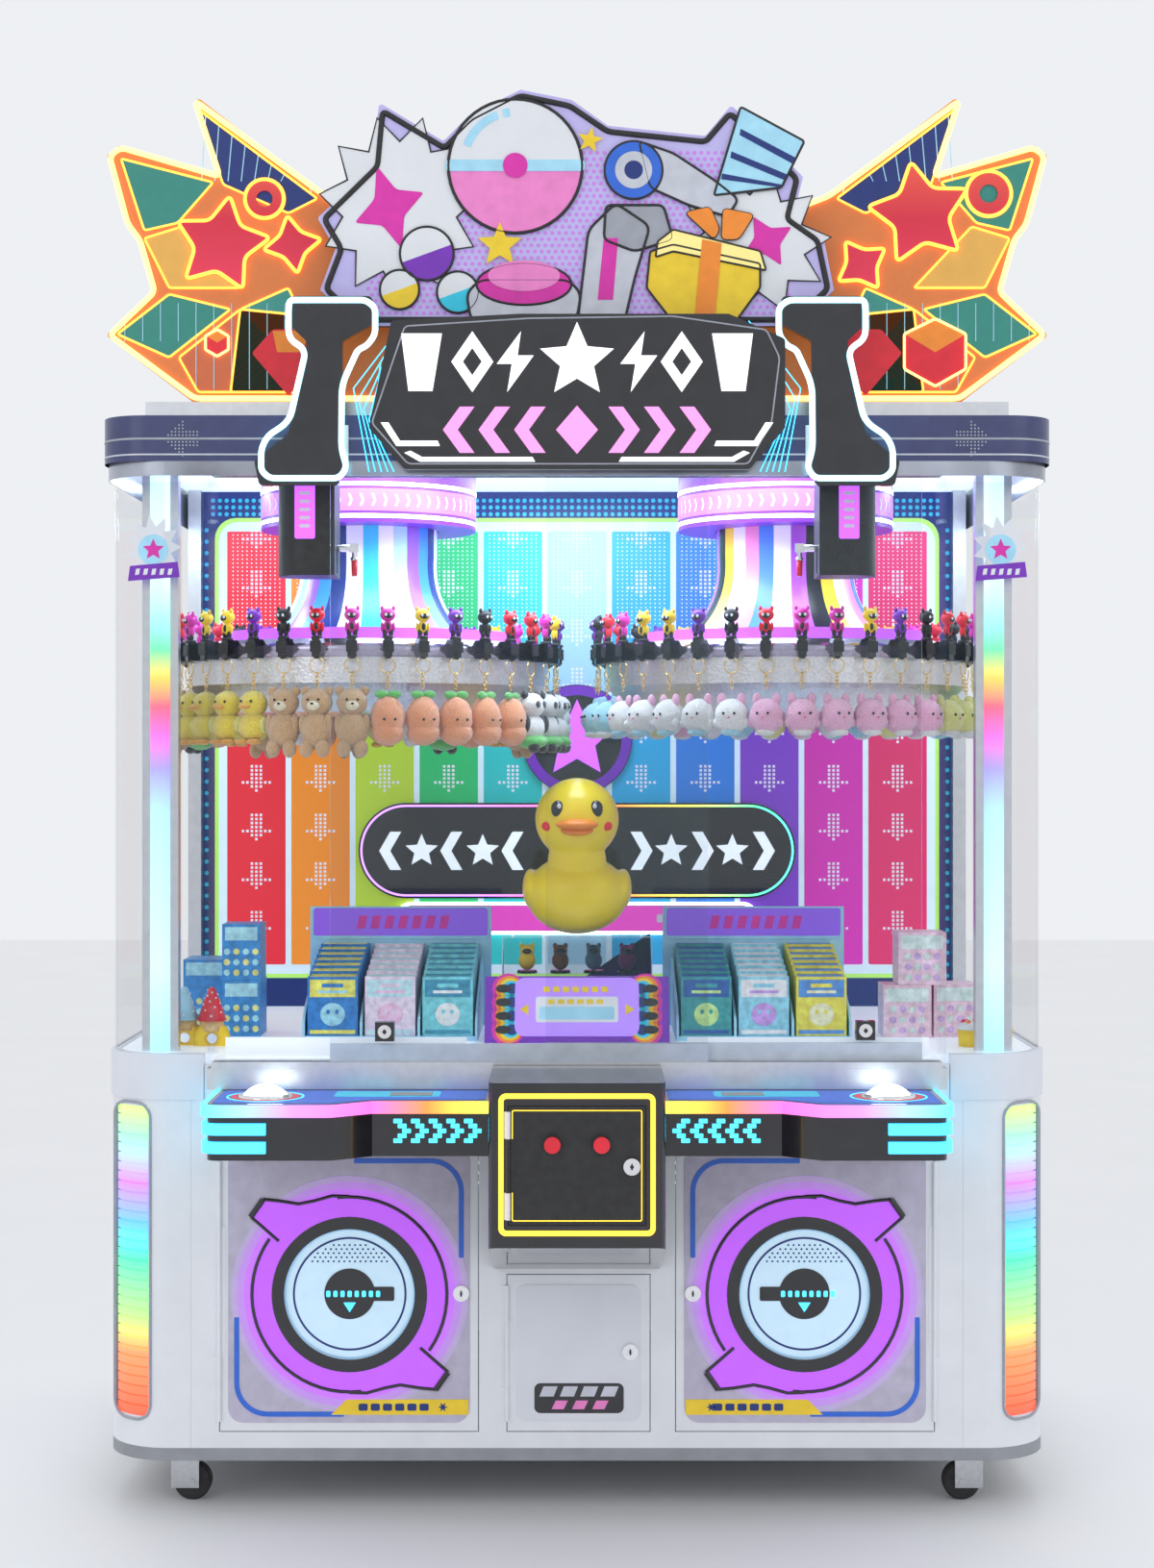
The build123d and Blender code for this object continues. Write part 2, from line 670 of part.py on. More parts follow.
# ======== roof band and ceiling ========
with BuildPart() as roof_band:
    with BuildSketch(Plane.XY.offset(roof_under)):
        roof_plan(0)
        roof_plan(roof_wall, Mode.SUBTRACT)
    extrude(amount=roof_top - roof_under)
roof_band.part.label = "roof_band"
export_step(roof_band.part, "parts/roof_band.step")
with BuildPart() as ceiling_panel:
    with BuildSketch(Plane.XY.offset(ceiling_under)):
        roof_plan(roof_wall + seat_gap)
    extrude(amount=ceiling_t)
ceiling_panel.part.label = "ceiling_panel"
export_step(ceiling_panel.part, "parts/ceiling_panel.step")

# ======== carousels: crown with shaft, turntable, clips and plush ========
shell_t = 6
with BuildPart() as carousel_crowns:
    for side in (-1, 1):
        centre = Plane(origin=(side * ring_x, ring_y, 0), x_dir=(1, 0, 0), z_dir=(0, -1, 0))
        with BuildSketch(centre):
            with BuildLine():
                Polyline((0, bowl_low - 14), (50, bowl_low - 14), (50, bowl_low - seat_gap),
                         (shaft_r, bowl_low - seat_gap), (shaft_r, 2100), (crown_r - 14, 2100),
                         (crown_r - 14, crown_low + shell_t), (neck_r + 4, crown_low + shell_t),
                         (neck_r + 4, crown_low), (crown_r, crown_low), (crown_r, ceiling_under),
                         (0, ceiling_under), close=True)
            make_face()
        revolve(axis=Axis((side * ring_x, ring_y, 0), (0, 0, 1)))
carousel_crowns.part.label = "carousel_crowns"
export_step(carousel_crowns.part, "parts/carousel_crowns.step")

for side, name in ((-1, "left"), (1, "right")):
    centre = Plane(origin=(side * ring_x, ring_y, 0), x_dir=(1, 0, 0), z_dir=(0, -1, 0))
    spin = Axis((side * ring_x, ring_y, 0), (0, 0, 1))
    with BuildPart() as turntable:
        with BuildSketch(centre):
            with BuildLine():
                Polyline((flare_r, disc_top), (disc_r, disc_top), (disc_r, rim_top), (rim_r, rim_top),
                         (rim_r, skirt_low), (bowl_r, bowl_low), (shaft_r + run_fit, bowl_low),
                         (shaft_r + run_fit, disc_top - 6), (flare_r - shell_t, disc_top - 6))
                Spline((flare_r - shell_t, disc_top - 6), (155, 1820), (neck_r - shell_t, 1920))
                Line((neck_r - shell_t, 1920), (neck_r - shell_t, neck_top))
                Line((neck_r - shell_t, neck_top), (neck_r, neck_top))
                Line((neck_r, neck_top), (neck_r, 1920))
                Spline((neck_r, 1920), (161, 1822), (flare_r, disc_top))
            make_face()
        revolve(axis=spin)
        with BuildSketch(centre):
            with BuildLine():
                Polyline((hub_r, bowl_low + shell_t), (bowl_r - 3, bowl_low + shell_t),
                         (rim_r - shell_t, skirt_low + 3), (rim_r - shell_t, rim_top - shell_t),
                         (hub_r, rim_top - shell_t), close=True)
            make_face()
        revolve(axis=spin, mode=Mode.SUBTRACT)
    turntable.part.label = f"turntable_{name}"
    export_step(turntable.part, f"parts/turntable_{name}.step")

    with BuildPart() as clip:
        block((rim_r + seat_gap, clip_r + 9), (-8, 8), (ring_z + ring_major, rim_top))
        bar_z(clip_r, 0, (rim_top, head_z), 7)
        with Locations((clip_r, 0, head_z)):
            Sphere(head_r)
        with Locations((clip_r, 0, ring_z)):
            Torus(ring_major, ring_wire, rotation=(0, 90, 0))
    with BuildPart() as clips:
        with Locations((side * ring_x, ring_y, 0)):
            with PolarLocations(0, clip_count):
                add(clip.part)
    clips.part.label = f"clips_{name}"
    export_step(clips.part, f"parts/clips_{name}.step")

    with BuildPart() as toy:
        plush_top = plush_z + plush_high / 2
        plush_foot = plush_z - plush_high / 2
        bar_z(clip_r, 0, (plush_foot, plush_top), plush_w / 2)
        fillet(toy.edges().filter_by(GeomType.CIRCLE), plush_w / 2 - 4)
        bar_z(clip_r, 0, (plush_top - 1, ring_z - ring_major - ring_wire - seat_gap), 2.5)
    with BuildPart() as plush:
        with Locations((side * ring_x, ring_y, 0)):
            with PolarLocations(0, clip_count):
                add(toy.part)
    plush.part.label = f"plush_{name}"
    export_step(plush.part, f"parts/plush_{name}.step")

# ======== striker housings and strikers ========
carriage = 18
slot_half = 9
carriage_z = (rod_z - 10, rod_z + 20)
striker_in = striker_x - striker_r
with BuildPart() as striker_housings:
    with BuildSketch(Plane.XY.offset(striker_low)):
        with Locations((-striker_x, striker_y)):
            Circle(striker_r)
        with Locations((-striker_x + striker_r / 2, striker_y)):
            Rectangle(striker_r, 2 * striker_r)
    extrude(amount=ceiling_under - striker_low)
    with BuildSketch(Plane.XY.offset(striker_low + striker_wall)):
        with Locations((-striker_x, striker_y)):
            Circle(striker_r - striker_wall)
        with Locations((-striker_x + (striker_r - striker_wall) / 2, striker_y)):
            Rectangle(striker_r - striker_wall, 2 * (striker_r - striker_wall))
    extrude(amount=ceiling_under - striker_low - 2 * striker_wall, mode=Mode.SUBTRACT)
    block((-striker_in - striker_wall, -striker_in), (striker_y - slot_half, striker_y + slot_half),
          (rod_z - stroke - slot_half, rod_z + slot_half), Mode.SUBTRACT)
    bar_z(-striker_x, striker_y, (striker_low + 1, ceiling_under - 1), guide_r)
    mirror(about=Plane.YZ)
striker_housings.part.label = "striker_housings"
export_step(striker_housings.part, "parts/striker_housings.step")
for side, name in ((-1, "left"), (1, "right")):
    with BuildPart() as striker:
        block((side * striker_x - carriage, side * striker_x + carriage),
              (striker_y - carriage, striker_y + carriage), carriage_z)
        bar_z(side * striker_x, striker_y, carriage_z, guide_r + run_fit, Mode.SUBTRACT)
        bar_x(striker_y, rod_z, sorted((side * (striker_x - carriage), side * finger_x)), rod_r)
        block((side * finger_x - 9, side * finger_x + 9), (striker_y - 9, striker_y + 9),
              (rod_z - 9, rod_z + 9))
        bar_z(side * finger_x, striker_y, (striker_low + 1, rod_z), 5)
    striker.part.label = f"striker_{name}"
    export_step(striker.part, f"parts/striker_{name}.step")

# ======== racks and boxed prizes ========
rack_rows = 7
rack_columns = 3
rack_pitch = 119
rack_step = 46
rack_rise = 8
rack_in = 208
rack_front = front_y + 246
rack_base = 10
divider_t = 5
prize_w = 104
prize_d = 38
prize_h = 122
with BuildPart() as prize_racks:
    rack_out = rack_in + rack_columns * rack_pitch
    for row in range(rack_rows):
        y = rack_front + row * rack_step
        block((-rack_out, -rack_in), (y, y + rack_step), (floor_top, floor_top + rack_base + row * rack_rise))
    for column in range(rack_columns + 1):
        x = -rack_in - column * rack_pitch
        with BuildSketch(Plane.YZ.offset(x - divider_t / 2)):
            with BuildLine():
                Polyline((rack_front - 6, floor_top), (rack_front - 6, floor_top + 40),
                         (rack_front + 40, floor_top + 70),
                         (rack_front + rack_rows * rack_step, floor_top + 150),
                         (rack_front + rack_rows * rack_step, floor_top), close=True)
            make_face()
        extrude(amount=divider_t)
    block((-rack_out - 20, -rack_in + 20), (rack_front + rack_rows * rack_step,
                                            rack_front + rack_rows * rack_step + 8),
          (floor_top, floor_top + 260))
    mirror(about=Plane.YZ)
prize_racks.part.label = "prize_racks"
export_step(prize_racks.part, "parts/prize_racks.step")
with BuildPart() as prize_boxes:
    for row in range(rack_rows):
        low = floor_top + rack_base + row * rack_rise + seat_gap
        y = rack_front + row * rack_step + 4
        for column in range(rack_columns):
            x = -rack_in - (column + 0.5) * rack_pitch
            block((x - prize_w / 2, x + prize_w / 2), (y, y + prize_d), (low, low + prize_h))
    mirror(about=Plane.YZ)
    low = floor_top + seat_gap
    block((-745, -665), (front_y + 330, front_y + 440), (low, low + 118))
    block((-745, -665), (front_y + 330, front_y + 430), (low + 118.3, low + 236))
    block((-850, -760), (front_y + 480, front_y + 600), (low, low + 150))
    block((640, 740), (front_y + 300, front_y + 400), (low, low + 110))
    block((672, 772), (front_y + 306, front_y + 406), (low + 110.3, low + 220))
    block((748, 838), (front_y + 320, front_y + 420), (low, low + 110))
prize_boxes.part.label = "prize_boxes"
export_step(prize_boxes.part, "parts/prize_boxes.step")

# ======== centre display: sloping board and clear box ========
board_half = 190
board_y = front_y + 205
show_half = 156
show_front = front_y + 300
show_rear = front_y + 430
show_top = floor_top + 211
with BuildPart() as center_display:
    with BuildSketch(Plane.YZ.offset(-board_half)):
        with BuildLine():
            Polyline((board_y, floor_top), (board_y, floor_top + 8), (board_y + 60, floor_top + 132),
                     (board_y + 68, floor_top + 128), (board_y + 68, floor_top), close=True)
        make_face()
    extrude(amount=2 * board_half)
    block((-show_half, show_half), (board_y + 68, show_rear), (floor_top, floor_top + 129))
    block((-show_half, show_half), (show_front, show_rear), (floor_top + 129, show_top))
    block((-show_half + 4, show_half - 4), (show_front + 4, show_rear - 4),
          (floor_top + 132, show_top - 4), Mode.SUBTRACT)
center_display.part.label = "center_display"
export_step(center_display.part, "parts/center_display.step")

# ======== display toy: a plain rubber duck ========
duck_y = front_y + 366
with BuildPart() as display_toy:
    with Locations((0, duck_y, show_top + 64)):
        Sphere(62)
    bar_z(0, duck_y, (show_top + seat_gap, show_top + 60), 50)
    bar_z(0, duck_y, (show_top + 60, show_top + 180), 60)
    with Locations((0, duck_y, show_top + 222)):
        Sphere(120)
    with Locations((0, duck_y - 108, show_top + 210)):
        Sphere(36)
display_toy.part.label = "display_toy"
export_step(display_toy.part, "parts/display_toy.step")

# ======== marquee: mounts, wing boards, centre board, title board, hook boards ========
plinth_top = 2191
wing_t = 20
center_y = front_y - 60
title_y = front_y - 150
hook_y = front_y - 127
with BuildPart() as marquee_mounts:
    block((-850, 850), (front_y, front_y + 40), (ceiling_under + ceiling_t, plinth_top))
    for x in (-260, 260):
        block((x - 20, x + 20), (center_y + 15, front_y - seat_gap), (ceiling_under + ceiling_t, 2600))
    block((-120, 120), (title_y + 20, roof_front - seat_gap), (2050, 2130))
    for side in (-1, 1):
        block(sorted((side * 440, side * 500)), (hook_y + 15, roof_front - seat_gap), (2050, 2130))
marquee_mounts.part.label = "marquee_mounts"
export_step(marquee_mounts.part, "parts/marquee_mounts.step")

with BuildPart() as marquee_wings:
    with BuildSketch(Plane.XZ.offset(-front_y)) as wing:
        with BuildLine():
            Polyline((-758, 2799), (-496, 2598), (-300, 2520), (-300, 2191.3), (-757, 2191.3),
                     (-928, 2322), (-836, 2408), (-862, 2500), (-882, 2545), (-926, 2676),
                     (-902, 2696), (-708, 2640), close=True)
        make_face()
        fillet(wing.vertices(), 7)
    extrude(amount=-wing_t)
    mirror(about=Plane.YZ)
marquee_wings.part.label = "marquee_wings"
export_step(marquee_wings.part, "parts/marquee_wings.step")

with BuildPart() as marquee_center:
    with BuildSketch(Plane.XZ.offset(-center_y)) as board:
        with BuildLine():
            Polyline((-505, 2540), (-470, 2480), (-500, 2400), (-430, 2330), (430, 2330), (500, 2400),
                     (480, 2500), (420, 2540), (440, 2620), (300, 2760), (250, 2700), (60, 2720),
                     (-10, 2770), (-110, 2790), (-210, 2740), (-260, 2690), (-385, 2765),
                     (-400, 2640), close=True)
        make_face()
        fillet(board.vertices(), 6)
    extrude(amount=-15)
marquee_center.part.label = "marquee_center"
export_step(marquee_center.part, "parts/marquee_center.step")

with BuildPart() as marquee_title:
    with BuildSketch(Plane.XZ.offset(-title_y)) as board:
        with BuildLine():
            Polyline((-398, 2120), (-355, 2325), (-110, 2338), (290, 2338), (398, 2290), (398, 2120),
                     (330, 2041), (-330, 2041), close=True)
        make_face()
        fillet(board.vertices(), 8)
    extrude(amount=-20)
marquee_title.part.label = "marquee_title"
export_step(marquee_title.part, "parts/marquee_title.step")

with BuildPart() as marquee_hooks:
    with BuildSketch(Plane.XZ.offset(-hook_y)) as board:
        with BuildLine():
            Polyline((-550, 2376), (-395, 2376), (-378, 2330), (-450, 2290), (-450, 2140),
                     (-448, 2060), (-458, 2012), (-610, 2012), (-620, 2060), (-555, 2110),
                     (-520, 2250), (-520, 2290), (-562, 2330), close=True)
        make_face()
        fillet(board.vertices(), 10)
    extrude(amount=-15)
    mirror(about=Plane.YZ)
marquee_hooks.part.label = "marquee_hooks"
export_step(marquee_hooks.part, "parts/marquee_hooks.step")

# ======== casters ========
plate_z = base_z - plate_t
with BuildPart() as caster_plates:
    for side in (-1, 1):
        for y in (caster_front, caster_rear):
            block((side * caster_x - 50, side * caster_x + 50), (y - 42, y + 42), (plate_z, base_z))
            bar_z(side * caster_x, y, (plate_z - 13, plate_z), king_r)
            with Locations((side * caster_x, y, plate_z + plate_t / 2)):
                with GridLocations(76, 60, 2, 2):
                    Cylinder(4.5, plate_t, mode=Mode.SUBTRACT)
caster_plates.part.label = "caster_plates"
export_step(caster_plates.part, "parts/caster_plates.step")
crown_top = plate_z - 1
crown_under = plate_z - 11
for side, name in ((-1, "left"), (1, "right")):
    for y, row in ((caster_front, "front"), (caster_rear, "rear")):
        axle_x = side * (caster_x - trail)
        with BuildPart() as fork:
            bar_z(side * caster_x, y, (crown_under, crown_top), 27)
            for face in (-1, 1):
                leg = sorted((y + face * (wheel_w / 2 + 2), y + face * (wheel_w / 2 + 5)))
                legs = sorted((side * (caster_x + 14), side * (caster_x - trail - 14)))
                block(legs, leg, (wheel_r - 12, crown_top - 2))
            bar_z(side * caster_x, y, (crown_under, crown_top), king_r + run_fit, Mode.SUBTRACT)
            bar_y(axle_x, wheel_r, (y - wheel_w / 2 - 9, y + wheel_w / 2 + 9), axle_r)
        fork.part.label = f"fork_{row}_{name}"
        export_step(fork.part, f"parts/fork_{row}_{name}.step")
        with BuildPart() as wheel:
            bar_y(axle_x, wheel_r, (y - wheel_w / 2, y + wheel_w / 2), wheel_r)
            chamfer(wheel.edges().filter_by(GeomType.CIRCLE), 4)
            bar_y(axle_x, wheel_r, (y - wheel_w / 2, y + wheel_w / 2), axle_r + run_fit, Mode.SUBTRACT)
        wheel.part.label = f"wheel_{row}_{name}"
        export_step(wheel.part, f"parts/wheel_{row}_{name}.step")
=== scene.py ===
import bpy
import bmesh
import json
import math
import random
from mathutils import Matrix, Vector

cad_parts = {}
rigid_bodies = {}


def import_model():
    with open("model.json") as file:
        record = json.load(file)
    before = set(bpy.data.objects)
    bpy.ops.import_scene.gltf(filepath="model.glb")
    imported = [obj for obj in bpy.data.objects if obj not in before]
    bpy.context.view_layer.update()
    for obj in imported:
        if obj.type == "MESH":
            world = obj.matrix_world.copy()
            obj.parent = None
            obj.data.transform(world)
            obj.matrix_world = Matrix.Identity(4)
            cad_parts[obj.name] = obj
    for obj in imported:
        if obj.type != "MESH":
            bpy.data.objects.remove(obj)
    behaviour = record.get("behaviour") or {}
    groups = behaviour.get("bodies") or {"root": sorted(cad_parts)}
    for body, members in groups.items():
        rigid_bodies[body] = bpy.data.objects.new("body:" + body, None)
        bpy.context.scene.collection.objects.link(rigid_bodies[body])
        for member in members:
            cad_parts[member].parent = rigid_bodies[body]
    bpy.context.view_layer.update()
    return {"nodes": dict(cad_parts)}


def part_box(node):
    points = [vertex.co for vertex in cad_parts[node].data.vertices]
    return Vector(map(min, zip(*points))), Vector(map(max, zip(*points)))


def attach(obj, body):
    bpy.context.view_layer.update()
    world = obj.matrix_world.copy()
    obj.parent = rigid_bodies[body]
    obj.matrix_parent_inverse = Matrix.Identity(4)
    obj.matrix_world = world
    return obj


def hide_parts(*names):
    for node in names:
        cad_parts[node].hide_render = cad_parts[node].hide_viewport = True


# Looks of the two-player prize machine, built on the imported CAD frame. Metres.
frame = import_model()
node = frame["nodes"]
random.seed(7)

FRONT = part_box("front_panel")[0][1]
SIDES = ((-1, "left"), (1, "right"))

WHITE = (0.80, 0.82, 0.86)
BLACK = (0.012, 0.012, 0.016)
NAVY = (0.012, 0.035, 0.20)
PURPLE = (0.20, 0.03, 0.50)
MAGENTA = (0.75, 0.03, 0.42)
PINK = (0.90, 0.25, 0.62)
RED = (0.80, 0.02, 0.04)
ORANGE = (0.95, 0.28, 0.03)
YELLOW = (0.95, 0.66, 0.03)
LIME = (0.45, 0.80, 0.05)
GREEN = (0.03, 0.55, 0.15)
TEAL = (0.02, 0.55, 0.50)
CYAN = (0.03, 0.62, 0.85)
SKY = (0.40, 0.75, 0.95)
BLUE = (0.03, 0.15, 0.70)


# ---------------------------------------------------------------- materials
def shade(rgb, k):
    """The colour made lighter or darker by a factor."""
    return tuple(min(1.0, c * k) for c in rgb) + (1.0,)


def surface(name, rgb, rough=0.4, metal=0.0, grain=40.0, depth=0.08, bump=0.0, coat=0.0, sheen=0.0, alpha=1.0):
    """Principled finish whose colour drifts a little with noise, with optional fine bump."""
    mat = bpy.data.materials.new(name)
    mat.use_nodes = True
    nodes, links = mat.node_tree.nodes, mat.node_tree.links
    bsdf = nodes["Principled BSDF"]
    place = nodes.new("ShaderNodeTexCoord")
    noise = nodes.new("ShaderNodeTexNoise")
    noise.inputs["Scale"].default_value = grain
    noise.inputs["Detail"].default_value = 3.0
    links.new(place.outputs["Object"], noise.inputs["Vector"])
    ramp = nodes.new("ShaderNodeValToRGB")
    ramp.color_ramp.elements[0].position = 0.3
    ramp.color_ramp.elements[1].position = 0.7
    ramp.color_ramp.elements[0].color = shade(rgb, 1 - depth)
    ramp.color_ramp.elements[1].color = shade(rgb, 1 + depth)
    links.new(noise.outputs["Fac"], ramp.inputs["Fac"])
    links.new(ramp.outputs["Color"], bsdf.inputs["Base Color"])
    bsdf.inputs["Roughness"].default_value = rough
    bsdf.inputs["Metallic"].default_value = metal
    bsdf.inputs["Coat Weight"].default_value = coat
    bsdf.inputs["Sheen Weight"].default_value = sheen
    bsdf.inputs["Alpha"].default_value = alpha
    if bump:
        relief = nodes.new("ShaderNodeBump")
        relief.inputs["Strength"].default_value = bump
        relief.inputs["Distance"].default_value = 0.002
        links.new(noise.outputs["Fac"], relief.inputs["Height"])
        links.new(relief.outputs["Normal"], bsdf.inputs["Normal"])
    return mat


def glow(name, rgb, power, base=None):
    """Lit plastic: a diffuser with its own light, slightly uneven."""
    mat = surface(name, base or rgb, 0.35, depth=0.04)
    bsdf = mat.node_tree.nodes["Principled BSDF"]
    bsdf.inputs["Emission Color"].default_value = rgb + (1.0,)
    bsdf.inputs["Emission Strength"].default_value = power
    return mat


def gradient(name, stops, axis, low, high, power=0.0, smooth=True, rough=0.35):
    """Colours that change along a row axis between two positions, lit when power is given."""
    mat = bpy.data.materials.new(name)
    mat.use_nodes = True
    nodes, links = mat.node_tree.nodes, mat.node_tree.links
    bsdf = nodes["Principled BSDF"]
    place = nodes.new("ShaderNodeTexCoord")
    split = nodes.new("ShaderNodeSeparateXYZ")
    links.new(place.outputs["Object"], split.inputs["Vector"])
    span = nodes.new("ShaderNodeMapRange")
    span.inputs["From Min"].default_value = low
    span.inputs["From Max"].default_value = high
    links.new(split.outputs[axis], span.inputs["Value"])
    ramp = nodes.new("ShaderNodeValToRGB")
    ramp.color_ramp.interpolation = "LINEAR" if smooth else "CONSTANT"
    while len(ramp.color_ramp.elements) < len(stops):
        ramp.color_ramp.elements.new(0.5)
    for element, (spot, rgb) in zip(ramp.color_ramp.elements, stops):
        element.position = spot
        element.color = rgb + (1.0,)
    links.new(span.outputs["Result"], ramp.inputs["Fac"])
    links.new(ramp.outputs["Color"], bsdf.inputs["Base Color"])
    bsdf.inputs["Roughness"].default_value = rough
    if power:
        links.new(ramp.outputs["Color"], bsdf.inputs["Emission Color"])
        bsdf.inputs["Emission Strength"].default_value = power
    return mat


M = {
    "white": surface("panel_white", WHITE, 0.35, depth=0.03, grain=12),
    "band": surface("band_white", (0.74, 0.76, 0.82), 0.42, depth=0.03, grain=10),
    "floor": glow("floor_white", (0.75, 0.88, 1.0), 0.25, (0.88, 0.92, 1.0)),
    "steel": surface("steel", (0.55, 0.56, 0.58), 0.25, 1.0, 90),
    "chrome": surface("chrome", (0.80, 0.80, 0.82), 0.08, 1.0, 60, 0.04),
    "alu": surface("aluminium", (0.66, 0.68, 0.72), 0.32, 1.0, 50, 0.05),
    "gold": surface("gold", (0.85, 0.60, 0.22), 0.22, 1.0, 60),
    "black": surface("black_gloss", BLACK, 0.12, grain=25, depth=0.3, coat=0.5),
    "matt_black": surface("black_matt", (0.02, 0.02, 0.022), 0.5, grain=60, depth=0.25),
    "rubber": surface("rubber", (0.022, 0.022, 0.024), 0.7, grain=80, depth=0.3, bump=0.1),
    "board": surface("base_board", (0.30, 0.31, 0.34), 0.6, grain=20),
    "lilac": glow("lilac_board", (0.55, 0.50, 0.90), 0.12, (0.50, 0.46, 0.80)),
    "navy": surface("navy", NAVY, 0.35, grain=30),
    "purple": surface("purple", PURPLE, 0.35, grain=30),
    "magenta": surface("magenta", MAGENTA, 0.35, grain=30),
    "pink": surface("pink", PINK, 0.4, grain=30),
    "red": surface("red", RED, 0.35, grain=30),
    "orange": surface("orange", ORANGE, 0.4, grain=30),
    "yellow": surface("yellow", YELLOW, 0.4, grain=30),
    "lime": surface("lime", LIME, 0.4, grain=30),
    "green": surface("green", GREEN, 0.4, grain=30),
    "teal": surface("teal", TEAL, 0.4, grain=30),
    "cyan": surface("cyan", CYAN, 0.4, grain=30),
    "sky": surface("sky", SKY, 0.4, grain=30),
    "blue": surface("blue", BLUE, 0.4, grain=30),
    "grey": surface("grey", (0.36, 0.38, 0.44), 0.45, grain=30),
    "silver": surface("silver", (0.60, 0.62, 0.70), 0.3, 0.3, grain=30),
    "hammered": surface("hammered_silver", (0.70, 0.70, 0.74), 0.28, 0.85, 160, 0.10, bump=0.9),
    "glass": surface("clear_glass", (0.10, 0.16, 0.18), 0.03, grain=3, depth=0.02, alpha=0.06),
    # Painted highlight: the pale, half-clear edge finish stands in for light caught along glass edges.
    "edge_glass_highlight": surface("glass_edge_highlight", (0.75, 0.92, 0.98), 0.15, grain=30, alpha=0.55),
    "frost": surface("frosted_strip", (0.60, 0.66, 0.74), 0.45, grain=30, alpha=0.80),
    "lit_white": glow("light_white", (0.80, 0.93, 1.0), 3.0),
    "lit_cyan": glow("light_cyan", (0.06, 0.62, 0.95), 1.7),
    "lit_amber": glow("light_amber", (1.0, 0.40, 0.05), 2.2),
    "lit_warm": glow("light_warm", (1.0, 0.55, 0.16), 2.6),
    "lit_yellow": glow("light_yellow", (1.0, 0.60, 0.04), 1.8),
    "lit_violet": glow("light_violet", (0.50, 0.10, 0.95), 1.2),
    "ceiling": glow("ceiling_light", (0.75, 0.93, 1.0), 0.9),
    "flap": glow("flap_blue", (0.50, 0.80, 1.0), 0.25, (0.62, 0.80, 0.95)),
    "duck": surface("duck_yellow", (0.95, 0.72, 0.02), 0.35, grain=12, depth=0.05, coat=0.2),
}


def wear(name, mat):
    """Gives a CAD node one finish."""
    mesh = node[name].data
    mesh.materials.clear()
    mesh.materials.append(M[mat] if isinstance(mat, str) else mat)


def wear_faces(name, mats, rule):
    """Gives a CAD node several finishes; rule picks the index from a face's centre and normal."""
    mesh = node[name].data
    mesh.materials.clear()
    for mat in mats:
        mesh.materials.append(M[mat] if isinstance(mat, str) else mat)
    for face in mesh.polygons:
        face.material_index = rule(face.center, face.normal)


# ---------------------------------------------------------------- shapes
def mesh_object(name, verts, faces, mats, body, indices=None, smooth=False):
    """A mesh piece that rides on a CAD body."""
    mesh = bpy.data.meshes.new(name)
    mesh.from_pydata(verts, [], faces)
    for mat in mats:
        mesh.materials.append(M[mat] if isinstance(mat, str) else mat)
    if indices:
        mesh.polygons.foreach_set("material_index", indices)
    if smooth:
        mesh.polygons.foreach_set("use_smooth", [True] * len(mesh.polygons))
    mesh.update()
    piece = bpy.data.objects.new(name, mesh)
    bpy.context.scene.collection.objects.link(piece)
    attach(piece, body)
    return piece


def plates(name, outlines, y, thick, mat, body="cabinet"):
    """Flat cut-outs facing the front: closed outlines in X and Z, front face at y."""
    verts, faces = [], []
    for pts in outlines:
        area = sum(a[0] * b[1] - b[0] * a[1] for a, b in zip(pts, pts[1:] + pts[:1]))
        if area < 0:
            pts = pts[::-1]
        start, count = len(verts), len(pts)
        verts += [(x, y, z) for x, z in pts] + [(x, y + thick, z) for x, z in pts]
        faces.append(tuple(range(start, start + count)))
        faces.append(tuple(range(start + 2 * count - 1, start + count - 1, -1)))
        for i in range(count):
            j = (i + 1) % count
            faces.append((start + i, start + count + i, start + count + j, start + j))
    return mesh_object(name, verts, faces, [mat], body)


def tube(name, lines, y, radius, mat, body="cabinet", cyclic=True):
    """Round light tube along outlines in X and Z."""
    curve = bpy.data.curves.new(name, "CURVE")
    curve.dimensions = "3D"
    curve.bevel_depth = radius
    curve.bevel_resolution = 2
    for pts in lines:
        line = curve.splines.new("POLY")
        line.points.add(len(pts) - 1)
        for point, (x, z) in zip(line.points, pts):
            point.co = (x, y, z, 1.0)
        line.use_cyclic_u = cyclic
    curve.materials.append(M[mat] if isinstance(mat, str) else mat)
    piece = bpy.data.objects.new(name, curve)
    bpy.context.scene.collection.objects.link(piece)
    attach(piece, body)
    return piece


def circle(x, z, radius, count=48, start=0.0, turn=360.0):
    """Points round a circle or an arc."""
    steps = count if turn >= 360 else count + 1
    return [(x + radius * math.cos(math.radians(start + turn * i / count)),
             z + radius * math.sin(math.radians(start + turn * i / count))) for i in range(steps)]


def sector(x, z, inner, outer, start, turn, count=32):
    """Closed outline of part of a flat ring."""
    return circle(x, z, outer, count, start, turn) + circle(x, z, inner, count, start, turn)[::-1]


def ring(x, z, inner, outer, count=36):
    """A flat ring as two half outlines."""
    return [sector(x, z, inner, outer, 0, 180, count), sector(x, z, inner, outer, 180, 180, count)]


def rounded(x0, x1, z0, z1, radius, count=6):
    """Rectangle with round corners."""
    pts = []
    for cx, cz, start in ((x1 - radius, z1 - radius, 0), (x0 + radius, z1 - radius, 90),
                          (x0 + radius, z0 + radius, 180), (x1 - radius, z0 + radius, 270)):
        pts += circle(cx, cz, radius, count, start, 90)
    return pts


